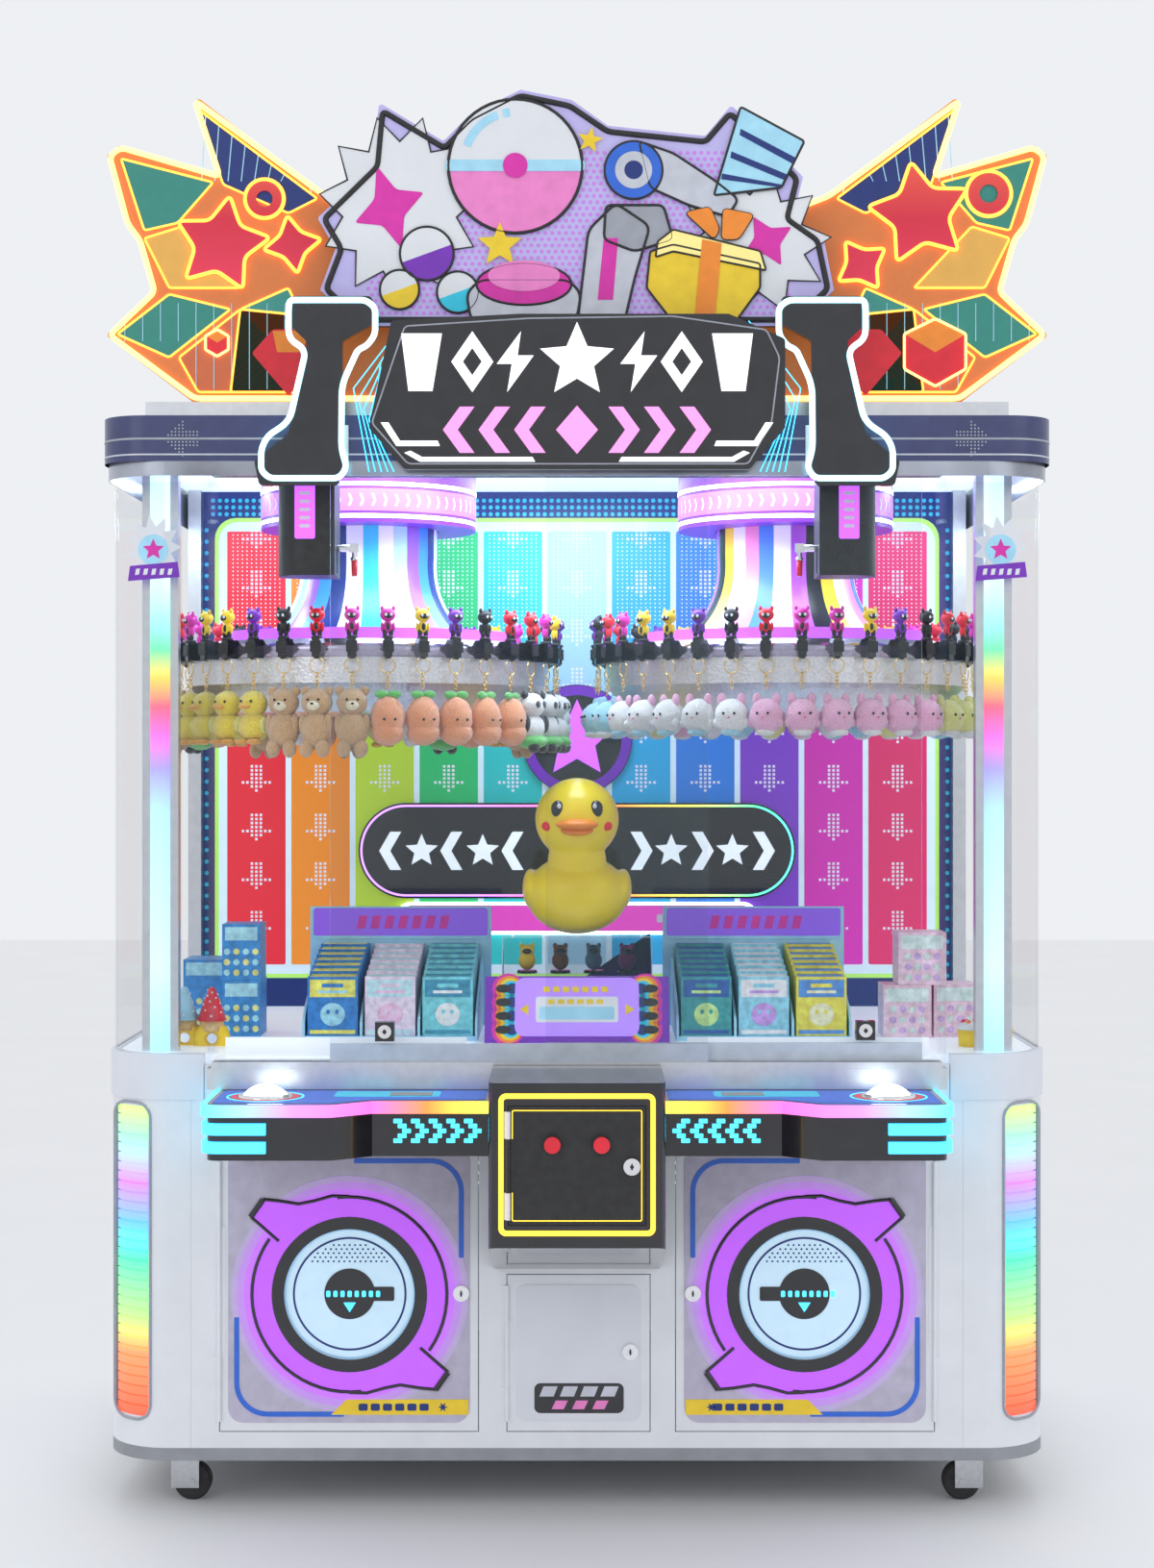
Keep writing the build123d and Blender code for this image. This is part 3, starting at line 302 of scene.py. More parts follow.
def split_round(outline, hole, x):
    """Cuts a round hole out of an outline, leaving a left and a right half."""
    halves = []
    for side in (-1, 1):
        keep = [p for p in outline if (p[0] - x) * side > 0]
        keep.sort(key=lambda p: math.atan2(p[1] - hole_mid(hole), (p[0] - x) * side))
        arc = sorted((p for p in hole if (p[0] - x) * side > 0.001), key=lambda p: p[1])
        low, high = min(p[1] for p in outline), max(p[1] for p in outline)
        bottom, top = min(p[1] for p in hole), max(p[1] for p in hole)
        halves.append([(x, low)] + keep + [(x, high), (x, top)] + arc[::-1] + [(x, bottom)])
    return halves


def hole_mid(hole):
    return sum(p[1] for p in hole) / len(hole)


def burst(x, z, outer, inner, count, squeeze=1.0, spin=0.0):
    """Star outline."""
    pts = []
    for i in range(2 * count):
        reach = outer if i % 2 == 0 else inner
        angle = math.radians(spin + 180 * i / count)
        pts.append((x + reach * math.cos(angle), z + squeeze * reach * math.sin(angle)))
    return pts


def softened(pts, radius, count=4):
    """The outline with its corners rounded."""
    out = []
    for i, here in enumerate(pts):
        a, b, c = Vector(pts[i - 1]), Vector(here), Vector(pts[(i + 1) % len(pts)])
        before, after = a - b, c - b
        cut = min(radius, before.length * 0.45, after.length * 0.45)
        p, q = b + before.normalized() * cut, b + after.normalized() * cut
        for step in range(count + 1):
            t = step / count
            out.append(tuple((1 - t) ** 2 * p + 2 * t * (1 - t) * b + t * t * q))
    return out


def flipped(outlines):
    """Outlines mirrored left to right."""
    return [[(-x, z) for x, z in pts] for pts in outlines]


def dots(name, spots, size, y, mat, body="cabinet", shape=4):
    """Many small flat dots in one piece."""
    verts, faces = [], []
    for x, z in spots:
        start = len(verts)
        for k in range(shape):
            angle = math.tau * (k + 0.5) / shape
            verts.append((x + size * math.cos(angle), y, z + size * math.sin(angle)))
        faces.append(tuple(range(start, start + shape)))
    return mesh_object(name, verts, faces, [mat], body)


# ---------------------------------------------------------------- finishes of the CAD nodes
for name, mat in (
    ("base_frame", "board"), ("front_panel", "white"), ("corner_shells", "white"), ("cabinet_panels", "white"),
    ("corner_bands", "band"), ("play_floor", "floor"), ("prize_chutes", "floor"), ("front_sill", "alu"),
    ("bay_rails", "alu"), ("control_decks", "black"), ("coin_box", "black"), ("coin_door", "matt_black"),
    ("door_hinges", "white"), ("cabinet_glass", "glass"), ("corner_posts", "alu"), ("back_wall", "navy"),
    ("back_sign", "black"), ("ceiling_panel", "ceiling"), ("striker_housings", "matt_black"),
    ("prize_racks", "sky"), ("center_display", "purple"), ("marquee_mounts", "alu"),
    ("marquee_center", "lilac"), ("marquee_title", "black"), ("marquee_hooks", "black"),
    ("service_door", "white"), ("caster_plates", "steel"),
):
    wear(name, mat)
for side, name in SIDES:
    wear(f"start_button_{name}", "lit_white")
    wear(f"coin_return_{name}", "red")
    wear(f"prize_door_{name}", "white")
    wear(f"prize_flap_{name}", "flap")
    wear(f"striker_{name}", "chrome")
    for row in ("front", "rear"):
        wear(f"fork_{row}_{name}", "steel")
        wear(f"wheel_{row}_{name}", "rubber")

RAINBOW = ((0.0, (0.10, 0.85, 1.0)), (0.25, (0.55, 0.25, 1.0)), (0.45, (1.0, 0.15, 0.55)),
           (0.6, (1.0, 0.25, 0.05)), (0.75, (0.9, 0.9, 0.1)), (0.9, (0.1, 1.0, 0.35)), (1.0, (0.1, 0.9, 1.0)))
GRILLE = ((0.0, (1.0, 0.12, 0.06)), (0.2, (1.0, 0.30, 0.12)), (0.32, (0.45, 1.0, 0.25)), (0.5, (0.10, 0.95, 0.45)),
          (0.62, (0.15, 0.50, 1.0)), (0.75, (0.60, 0.25, 1.0)), (0.9, (0.35, 0.90, 0.55)), (1.0, (0.65, 1.0, 0.25)))
COLUMN = ((0.0, (0.35, 0.80, 1.0)), (0.15, (0.55, 0.92, 1.0)), (0.42, (0.40, 0.70, 1.0)), (0.50, (0.35, 0.30, 1.0)),
          (0.56, (0.85, 0.15, 0.60)), (0.61, (1.0, 0.12, 0.20)), (0.66, (0.90, 0.55, 0.10)),
          (0.71, (0.15, 1.0, 0.35)), (0.77, (0.35, 0.95, 0.80)), (0.85, (0.70, 0.95, 1.0)), (1.0, (0.55, 0.90, 1.0)))
low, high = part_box("light_strips")
deck_light = gradient("deck_edge_light", RAINBOW, "X", -0.70, 0.0, 1.0)
deck_light_right = gradient("deck_edge_light_right", RAINBOW, "X", 0.70, 0.0, 1.0)
grille_light = gradient("grille_light", GRILLE, "Z", low.z, 0.802, 0.65)
column_light = gradient("column_light", COLUMN, "Z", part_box("corner_lights")[0].z, 2.03, 0.9)


def strip_rule(centre, normal):
    if abs(centre.x) < 0.16:
        return 3
    if abs(centre.x) > 0.80:
        return 2
    if centre.z < 0.82:
        return 4
    return 0 if centre.x < 0 else 1


wear_faces("light_strips", [deck_light, deck_light_right, grille_light, "lit_yellow", "lit_cyan"], strip_rule)
wear("corner_lights", column_light)
# Painted sheen: the roof band's grey, with large lighter and darker blotches, stands in for the sheen on the curved
# band.
roof_painted_sheen = surface("roof_sheen", (0.36, 0.38, 0.44), 0.25, 0.7, grain=6, depth=0.35)
wear("roof_band", roof_painted_sheen)

# Painted shade: the grooves between the louvres look dark, and a thin grey line round each grille's outline, following
# the curved corner, stands in for that shade.
for side, name in SIDES:
    outline = rounded(side * 0.8825 - 0.041, side * 0.8825 + 0.041, 0.183, 0.809, 0.03)
    arc = []
    for x, z in outline:
        reach = min(abs(x) - 0.805, 0.1299)
        arc.append((x, FRONT + 0.13 - math.sqrt(0.1318 ** 2 - reach ** 2), z))
    curve = bpy.data.curves.new(f"grille_shade_rim_{name}", "CURVE")
    curve.dimensions = "3D"
    curve.bevel_depth = 0.0028
    line = curve.splines.new("POLY")
    line.points.add(len(arc) - 1)
    for point, spot in zip(line.points, arc):
        point.co = (*spot, 1.0)
    line.use_cyclic_u = True
    curve.materials.append(M["grey"])
    rim = bpy.data.objects.new(f"grille_shade_rim_{name}", curve)
    bpy.context.scene.collection.objects.link(rim)
    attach(rim, "cabinet")

# ---------------------------------------------------------------- prize doors
RING_X, RING_Z = 0.448, 0.433
for side, name in SIDES:
    body = f"prize_door_{name}"
    turn = 1 if side < 0 else -1
    panel = rounded(side * 0.449 - 0.238, side * 0.449 + 0.238, 0.180, 0.72, 0.03)
    hole = circle(side * RING_X, RING_Z, 0.140, 48)
    plates(f"door_panel_{name}", split_round(panel, hole, side * RING_X), FRONT - 0.0012, 0.0011,
           surface(f"door_tint_{name}", (0.52, 0.49, 0.62), 0.4), body)
    for k, (inner, outer, power) in enumerate(((0.185, 0.208, 1.0), (0.208, 0.222, 0.6), (0.222, 0.234, 0.3))):
        fade = 0.25 * k
        halo = glow(f"ring_glow_{name}_{k}", (0.62, 0.16, 1.0), power * 0.45, (0.45 + fade * 0.1, 0.16 + fade * 0.6, 0.75 - fade * 0.2))
        plates(f"door_halo_{name}_{k}", ring(side * RING_X, RING_Z, inner, outer), FRONT - 0.0017, 0.0004, halo, body)
    purple = glow(f"ring_purple_{name}", (0.46, 0.08, 0.90), 0.60, (0.40, 0.10, 0.62))
    ears, caps, edges = [], [], []
    for flip in (1, -1):
        arc = [(0.150 * math.cos(math.radians(a)), 0.150 * math.sin(math.radians(a))) for a in range(140, 90, -8)]
        top = [(0.0, 0.193), (-0.034, 0.194), (-0.070, 0.184), (-0.100, 0.178), (-0.138, 0.184), (-0.170, 0.187)]
        shape = [(-0.194, 0.153), (-0.139, 0.105)] + arc + top
        place = [(side * RING_X + flip * -side * x, RING_Z + flip * z) for x, z in shape]
        ears.append(place)
        caps.append([place[-1], place[0]])
        edges.append(place[len(arc) + 2:])
        edges.append(place[:2])
        start, stop = (97, -40)
        edges.append([(side * RING_X + flip * -side * 0.192 * math.cos(math.radians(a)), RING_Z + flip * 0.192 * math.sin(math.radians(a)))
                      for a in range(start, stop, -6)])
    plates(f"ring_band_{name}", ring(side * RING_X, RING_Z, 0.148, 0.192), FRONT - 0.0026, 0.0009, purple, body)
    plates(f"ring_ears_{name}", ears, FRONT - 0.0031, 0.0013, purple, body)
    plates(f"ring_rim_{name}", ring(side * RING_X, RING_Z, 0.1285, 0.153), FRONT - 0.0038, 0.0026, "black", body)
    tube(f"ring_lines_{name}", edges, FRONT - 0.0026, 0.0034, "black", body, cyclic=False)
    tube(f"ring_caps_{name}", caps, FRONT - 0.0030, 0.0060, "black", body, cyclic=False)
    corner = side * 0.449
    arcs = []
    for sx, sz, start in ((turn, 1, 0), (-turn, -1, 180)):
        sweep = start if turn > 0 else 180 - start - 90 if sz > 0 else start + 90
        cx, cz = corner + sx * 0.160, (0.635 if sz > 0 else 0.258)
        arcs.append(sector(cx, cz, 0.056, 0.066, sweep, 90, 12))
        x_edge = cx + sx * 0.061
        arcs.append(rounded(x_edge - 0.005, x_edge + 0.005, min(cz, cz - sz * 0.13), max(cz, cz - sz * 0.13), 0.002, 2))
        z_edge = cz + sz * 0.061
        arcs.append(rounded(min(cx, cx - sx * 0.15), max(cx, cx - sx * 0.15), z_edge - 0.005, z_edge + 0.005, 0.002, 2))
    plates(f"door_arcs_{name}", arcs, FRONT - 0.0020, 0.0007, "blue", body)
    tag_x = corner + turn * 0.10
    tag = [(tag_x - 0.135, 0.196), (tag_x - 0.105, 0.226), (tag_x + 0.135, 0.226), (tag_x + 0.135, 0.196)]
    tag = tag if turn > 0 else [(2 * tag_x - x, z) for x, z in tag]
    plates(f"door_tag_{name}", [tag], FRONT - 0.0022, 0.0009, "yellow", body)
    marks = [rounded(tag_x + i * 0.024 - 0.009, tag_x + i * 0.024 + 0.009, 0.204, 0.218, 0.003, 2) for i in range(-3, 3)]
    plates(f"tag_marks_{name}", marks + [burst(tag_x + turn * 0.085, 0.211, 0.010, 0.004, 6)], FRONT - 0.0028, 0.0006, "navy", body)
    key_x, key_z = side * 0.228, 0.435
    plates(f"prize_key_{name}", ring(key_x, key_z, 0.0035, 0.0155), FRONT - 0.0065, 0.0015, "chrome", body)
    plates(f"prize_key_slot_{name}", [rounded(key_x - 0.0015, key_x + 0.0015, key_z - 0.006, key_z + 0.006, 0.0008, 2)],
           FRONT - 0.0068, 0.002, "matt_black", body)

    body = f"prize_flap_{name}"
    face = FRONT + 0.004
    plates(f"flap_line_{name}", ring(side * RING_X, RING_Z, 0.108, 0.112), face - 0.0006, 0.0005, "navy", body)
    plates(f"flap_hub_{name}", [circle(side * RING_X, RING_Z, 0.050)], face - 0.0012, 0.0011, "black", body)
    bar = sorted((side * RING_X - turn * 0.03, side * RING_X + turn * 0.088))
    plates(f"flap_bar_{name}", [rounded(bar[0], bar[1], RING_Z - 0.014, RING_Z + 0.014, 0.004)], face - 0.0014, 0.0013, "black", body)
    marks = [rounded(side * RING_X + i * 0.014 - 0.004, side * RING_X + i * 0.014 + 0.004, RING_Z - 0.006, RING_Z + 0.006, 0.002, 2)
             for i in range(-3, 5)]
    plates(f"flap_marks_{name}", marks, face - 0.0018, 0.0004, "lit_cyan", body)
    plates(f"flap_pointer_{name}", [[(side * RING_X - 0.012, RING_Z - 0.017), (side * RING_X, RING_Z - 0.036), (side * RING_X + 0.012, RING_Z - 0.017)]],
           face - 0.0018, 0.0006, "lit_cyan", body)
    spots = []
    for row in range(6):
        for column in range(-7, 8):
            x, z = column * 0.0105 + (row % 2) * 0.005, 0.064 + row * 0.008
            if x * x + z * z < 0.104 ** 2:
                spots.append((side * RING_X + x, RING_Z + z))
    dots(f"flap_dots_{name}", spots, 0.0022, face - 0.0007, "navy", body, 6)

# ---------------------------------------------------------------- service door
service = rounded(-0.120, 0.126, 0.183, 0.452, 0.02)
plates("service_panel", [service], FRONT - 0.0012, 0.0011, "band", "service_door")
plates("service_key", ring(0.105, 0.320, 0.0035, 0.0155), FRONT - 0.0065, 0.0015, "chrome", "service_door")
plates("service_key_slot", [rounded(0.1035, 0.1065, 0.314, 0.326, 0.0008, 2)], FRONT - 0.0068, 0.002, "matt_black", "service_door")
marks = [[(x - 0.018, 0.232), (x - 0.010, 0.252), (x + 0.018, 0.252), (x + 0.010, 0.232)] for x in (-0.056, -0.016, 0.024, 0.064)]
plates("service_mark", [rounded(-0.084, 0.092, 0.199, 0.258, 0.012)], FRONT - 0.0018, 0.0007, "black", "service_door")
plates("service_mark_bars", marks, FRONT - 0.0024, 0.0006, "silver", "service_door")
plates("service_mark_low", [[(x - 0.014, 0.207), (x - 0.006, 0.224), (x + 0.018, 0.224), (x + 0.010, 0.207)] for x in (-0.036, 0.004, 0.044)],
       FRONT - 0.0024, 0.0006, "pink", "service_door")

# ---------------------------------------------------------------- control decks
for side, name in SIDES:
    chevrons = []
    for i in range(5):
        for k in range(5):
            x = side * (0.335 - i * 0.033) - side * (k if k < 3 else 4 - k) * 0.0082
            z = 0.769 + k * 0.0092
            chevrons.append(rounded(x - 0.0082, x + 0.0082, z, z + 0.0082, 0.001, 1))
    plates(f"deck_chevrons_{name}", chevrons, FRONT - 0.2550, 0.0012, "lit_cyan")

# Printed tops: flat cut-outs lying on the deck.
DECK_TOP = 0.848


def deck_print(name, outlines, lift, mat):
    """Flat cut-outs in X and Y lying on the control decks."""
    verts, faces = [], []
    for pts in outlines:
        area = sum(a[0] * b[1] - b[0] * a[1] for a, b in zip(pts, pts[1:] + pts[:1]))
        pts = pts if area > 0 else pts[::-1]
        start, count = len(verts), len(pts)
        verts += [(x, y, DECK_TOP + lift) for x, y in pts] + [(x, y, DECK_TOP) for x, y in pts]
        faces.append(tuple(range(start, start + count)))
        for i in range(count):
            j = (i + 1) % count
            faces.append((start + j, start + i, start + count + i, start + count + j))
    return mesh_object(name, verts, faces, [mat], "cabinet")


for side, name in SIDES:
    bx, by = side * 0.589, FRONT - 0.201
    outer = [(side * 0.678, FRONT - 0.108), (side * 0.678, FRONT - 0.296), (side * 0.452, FRONT - 0.296),
             (side * 0.380, FRONT - 0.243), (side * 0.172, FRONT - 0.243), (side * 0.172, FRONT - 0.108)]
    deck_print(f"deck_blue_{name}", [softened(outer, 0.012)], 0.0006, "blue")
    screen = [(side * 0.46, FRONT - 0.125), (side * 0.46, FRONT - 0.205), (side * 0.26, FRONT - 0.205), (side * 0.26, FRONT - 0.125)]
    deck_print(f"deck_panel_{name}", [softened(screen, 0.01)], 0.0010, "cyan")
    window = [(side * 0.355, FRONT - 0.14), (side * 0.355, FRONT - 0.19), (side * 0.275, FRONT - 0.19), (side * 0.275, FRONT - 0.14)]
    deck_print(f"deck_window_{name}", [softened(window, 0.004)], 0.0014, "black")
    deck_print(f"deck_ring_{name}", ring(bx, by, 0.052, 0.066), 0.0012, "red")
    deck_print(f"deck_ring_line_{name}", ring(bx, by, 0.070, 0.073), 0.0012, "lit_cyan")
    mesh_ring = bpy.data.meshes.new(f"button_bezel_{name}")
    shape = bmesh.new()
    section = [(0.0425, 0.001), (0.0425, 0.0058), (0.0455, 0.0072), (0.050, 0.0058), (0.0515, 0.0006)]
    rings = []
    for i in range(64):
        a = math.tau * i / 64
        rings.append([shape.verts.new((bx + r * math.cos(a), by + r * math.sin(a), DECK_TOP + h)) for r, h in section])
    for i in range(64):
        for k in range(len(section) - 1):
            shape.faces.new((rings[i][k], rings[(i + 1) % 64][k], rings[(i + 1) % 64][k + 1], rings[i][k + 1])).smooth = True
    bmesh.ops.recalc_face_normals(shape, faces=shape.faces[:])
    shape.to_mesh(mesh_ring)
    mesh_ring.materials.append(M["chrome"])
    bezel = bpy.data.objects.new(f"button_bezel_{name}", mesh_ring)
    bpy.context.scene.collection.objects.link(bezel)
    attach(bezel, "cabinet")

# ---------------------------------------------------------------- coin door
COIN = FRONT - 0.376
outline = rounded(-0.118, 0.118, 0.645, 0.846, 0.003)
tube("coin_door_line", [outline], COIN - 0.0006, 0.0009, "lit_yellow", "coin_door")
plates("coin_key", ring(0.100, 0.744, 0.0035, 0.0155), COIN - 0.0065, 0.0015, "chrome", "coin_door")
plates("coin_key_slot", [rounded(0.0985, 0.1015, 0.738, 0.750, 0.0008, 2)], COIN - 0.0068, 0.002, "matt_black", "coin_door")

# ---------------------------------------------------------------- back wall
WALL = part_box("back_wall")[0].y
STRIPES = ((0.85, 0.03, 0.05), (0.95, 0.30, 0.03), (0.55, 0.80, 0.05), (0.03, 0.60, 0.18), (0.03, 0.60, 0.58),
           (0.42, 0.72, 0.90), (0.03, 0.45, 0.80), (0.04, 0.25, 0.80), (0.25, 0.06, 0.65), (0.72, 0.03, 0.48),
           (0.80, 0.03, 0.16))
plates("wall_lime", [rounded(-0.856, 0.856, 0.972, 2.059, 0.05)], WALL - 0.0006, 0.0005, glow("wall_lime", (0.45, 0.85, 0.15), 0.35))
plates("wall_grey", [rounded(-0.846, 0.846, 0.982, 2.049, 0.045)], WALL - 0.0010, 0.0004, glow("wall_pale", (0.62, 0.78, 0.86), 0.35))
for i, rgb in enumerate(STRIPES):
    x = (i - 5) * 0.1515
    lit = gradient(f"wall_stripe_{i}", ((0.0, rgb), (0.6, tuple(c * 0.8 for c in rgb)), (1.0, tuple(min(1, c * 1.05 + 0.01) for c in rgb))),
                   "Z", 1.0, 2.03, 0.22)
    plates(f"wall_stripe_{i}", [rounded(x - 0.069, x + 0.069, 1.004, 2.027, 0.004, 2)], WALL - 0.0016, 0.0006, lit)
spots, fine = [], []
for i in range(11):
    x = (i - 5) * 0.1515
    for row in range(9):
        z = 1.07 + row * 0.115
        for r in range(7):
            wide = 2 if r >= 3 else r
            for c in range(-wide - (1 if r == 2 else 0), wide + 1 + (1 if r == 2 else 0)):
                if r >= 3 and abs(c) > 1:
                    continue
                spots.append((x + c * 0.0105, z + r * 0.0095))
    for row in range(24):
        for c in range(-5, 6):
            fine.append((x + c * 0.011, 1.80 + row * 0.0095))
dots("wall_arrows", spots, 0.0042, WALL - 0.0019, glow("wall_arrow", (0.75, 0.75, 0.85), 0.25), shape=4)
dots("wall_fine_dots", fine, 0.0020, WALL - 0.0019, glow("wall_dot", (0.85, 0.90, 0.95), 0.25), shape=4)
blue_dots = [(side * (0.875 + 0.016 * (c % 2)), 0.95 + c * 0.0135) for side in (-1, 1) for c in range(82)]
blue_dots += [(-0.86 + c * 0.016, 2.068 + 0.016 * r) for c in range(108) for r in range(3)]
dots("wall_band_dots", blue_dots, 0.0052, WALL - 0.0008, "cyan", shape=8)

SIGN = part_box("back_sign")[0].y
pill = rounded(-0.512, 0.512, 1.163, 1.384, 0.1100, 16)
rim_light = gradient("sign_rim", RAINBOW[1:], "X", -0.52, 0.52, 2.0)
tube("sign_light", [rounded(-0.508, 0.508, 1.168, 1.379, 0.1050, 16)], SIGN + 0.006, 0.007, rim_light)
symbols = []
for i in range(5):
    for side in (-1, 1):
        x = side * (0.150 + i * 0.072)
        if i % 2:
            symbols.append(burst(x, 1.273, 0.040, 0.018, 5, 1, 90))
        else:
            symbols.append([(x - side * 0.024, 1.318), (x + side * 0.002, 1.318), (x + side * 0.028, 1.273), (x + side * 0.002, 1.228), (x - side * 0.024, 1.228), (x + side * 0.002, 1.273)])
plates("sign_symbols", symbols, SIGN - 0.0012, 0.0011, glow("sign_white", (0.85, 0.95, 0.98), 0.5))
low_sign = rounded(-0.419, 0.419, 1.084, 1.143, 0.0290, 10)
plates("low_sign_face", [low_sign], WALL - 0.0130, 0.0009, glow("low_sign", (0.75, 0.06, 0.50), 0.5))
tube("low_sign_line", [rounded(-0.424, 0.424, 1.079, 1.148, 0.0340, 10)], WALL - 0.011, 0.004, "lit_white")
marks = [rounded(x - 0.012, x + 0.012, 1.104, 1.123, 0.003, 2) for x in (-0.30, -0.26, -0.22, -0.05, -0.01, 0.03, 0.20, 0.25, 0.30)]
plates("low_sign_marks", marks, WALL - 0.0138, 0.0008, "white")
plates("badge_ring", ring(0, 1.535, 0.105, 0.128), WALL - 0.0150, 0.0009, "purple")
plates("badge_face", [burst(0, 1.535, 0.095, 0.045, 5, spin=90)], WALL - 0.0150, 0.0009, "lit_violet")

# ---------------------------------------------------------------- carousels
RING_Y = FRONT + 0.440
RING_R = 0.405
CLIPS = 36


def ring_shader(name, stops, centre_x):
    """Upright stripes round a drum."""
    mat = bpy.data.materials.new(name)
    mat.use_nodes = True
    nodes, links = mat.node_tree.nodes, mat.node_tree.links
    bsdf = nodes["Principled BSDF"]
    place = nodes.new("ShaderNodeTexCoord")
    split = nodes.new("ShaderNodeSeparateXYZ")
    links.new(place.outputs["Object"], split.inputs["Vector"])
    shift_x, shift_y = nodes.new("ShaderNodeMath"), nodes.new("ShaderNodeMath")
    for shift, source, amount in ((shift_x, "X", centre_x), (shift_y, "Y", RING_Y)):
        shift.operation = "SUBTRACT"
        links.new(split.outputs[source], shift.inputs[0])
        shift.inputs[1].default_value = amount
    turn = nodes.new("ShaderNodeMath")
    turn.operation = "ARCTAN2"
    links.new(shift_x.outputs["Value"], turn.inputs[0])
    links.new(shift_y.outputs["Value"], turn.inputs[1])
    fold = nodes.new("ShaderNodeMath")
    fold.operation = "PINGPONG"
    links.new(turn.outputs["Value"], fold.inputs[0])
    fold.inputs[1].default_value = math.pi
    span = nodes.new("ShaderNodeMapRange")
    span.inputs["From Max"].default_value = math.pi
    links.new(fold.outputs["Value"], span.inputs["Value"])
    wide = nodes.new("ShaderNodeMapRange")
    wide.inputs["From Min"].default_value = -math.pi
    wide.inputs["From Max"].default_value = math.pi
    links.new(turn.outputs["Value"], wide.inputs["Value"])
    ramp = nodes.new("ShaderNodeValToRGB")
    ramp.color_ramp.interpolation = "CONSTANT"
    while len(ramp.color_ramp.elements) < len(stops):
        ramp.color_ramp.elements.new(0.5)
    for element, (spot, rgb) in zip(ramp.color_ramp.elements, stops):
        element.position = spot
        element.color = rgb + (1.0,)
    links.new(wide.outputs["Result"], ramp.inputs["Fac"])
    links.new(ramp.outputs["Color"], bsdf.inputs["Base Color"])
    links.new(ramp.outputs["Color"], bsdf.inputs["Emission Color"])
    bsdf.inputs["Emission Strength"].default_value = 0.25
    bsdf.inputs["Roughness"].default_value = 0.25
    return mat


def stripe_stops(colours, repeats):
    stops, count = [], len(colours) * repeats
    for i in range(min(count, 30)):
        stops.append((i / min(count, 30), colours[i % len(colours)]))
    return stops


LEFT_STRIPES = ((0.85, 0.92, 1.0), NAVY, (0.05, 0.30, 0.85), (0.30, 0.12, 0.70), (0.45, 0.78, 0.98), (0.92, 0.96, 1.0), (0.05, 0.60, 0.85))
RIGHT_STRIPES = ((0.92, 0.94, 1.0), (0.08, 0.25, 0.80), (0.95, 0.30, 0.60), (0.92, 0.94, 1.0), (0.98, 0.75, 0.05), BLACK, (0.42, 0.10, 0.65))
violet_deck = glow("turntable_deck", (0.55, 0.12, 0.95), 0.5)
for side, name in SIDES:
    stripes = ring_shader(f"drum_stripes_{name}", stripe_stops(LEFT_STRIPES if side < 0 else RIGHT_STRIPES, 4), side * 0.446)

    def table_rule(centre, normal):
        if centre.z > 1.7551:
            return 1
        if centre.z > 1.7281:
            return 2
        return 0
    wear_faces(f"turntable_{name}", ["hammered", stripes, violet_deck], table_rule)
    for face in node[f"turntable_{name}"].data.polygons:
        face.use_smooth = True
wear_faces("carousel_crowns", ["purple", "steel"], lambda centre, normal: 0 if centre.z > 1.97 else 1)


def lathe(name, profile, x, y, mats, body, index=None, count=72, smooth=True):
    """Turned piece: profile is (radius, height) pairs."""
    verts, faces, ids = [], [], []
    for i in range(count):
        a = math.tau * i / count
        verts += [(x + r * math.cos(a), y + r * math.sin(a), z) for r, z in profile]
    n = len(profile)
    for i in range(count):
        j = (i + 1) % count
        for k in range(n - 1):
            faces.append((i * n + k, j * n + k, j * n + k + 1, i * n + k + 1))
            ids.append(index[k] if index else 0)
    return mesh_object(name, verts, faces, mats, body, ids, smooth)


for side, name in SIDES:
    x = side * 0.446
    for k, (z0, z1) in enumerate(((1.984, 1.992), (2.050, 2.058))):
        lathe(f"crown_line_{name}_{k}", [(0.2285, z0), (0.2302, z0), (0.2302, z1), (0.2285, z1)], x, RING_Y, ["lit_white"], "cabinet", smooth=False)
    lathe(f"crown_band_{name}", [(0.2285, 1.998), (0.2298, 1.998), (0.2298, 2.044), (0.2285, 2.044)], x, RING_Y,
          [glow(f"crown_violet_{name}", (0.45, 0.15, 0.85), 0.6)], "cabinet", smooth=False)
    verts, faces = [], []
    for i in range(60):
        a = math.tau * i / 60
        for k in range(3):
            t = a + math.radians((1.2 if k == 1 else 0))
            for dt in (0, 0.020):
                verts.append((x + 0.2303 * math.cos(t + dt), RING_Y + 0.2303 * math.sin(t + dt), 2.008 + k * 0.0125))
        s = i * 6
        faces += [(s, s + 1, s + 3, s + 2), (s + 2, s + 3, s + 5, s + 4)]
    mesh_object(f"crown_marks_{name}", verts, faces, ["white"], "cabinet")
    lathe(f"rim_line_{name}", [(0.3815, 1.7275), (0.3835, 1.7285), (0.3835, 1.6925), (0.3815, 1.6915)], x, RING_Y,
          [surface(f"rim_silver_{name}", (0.45, 0.42, 0.55), 0.18, 0.9, 120)], f"carousel_{name}")


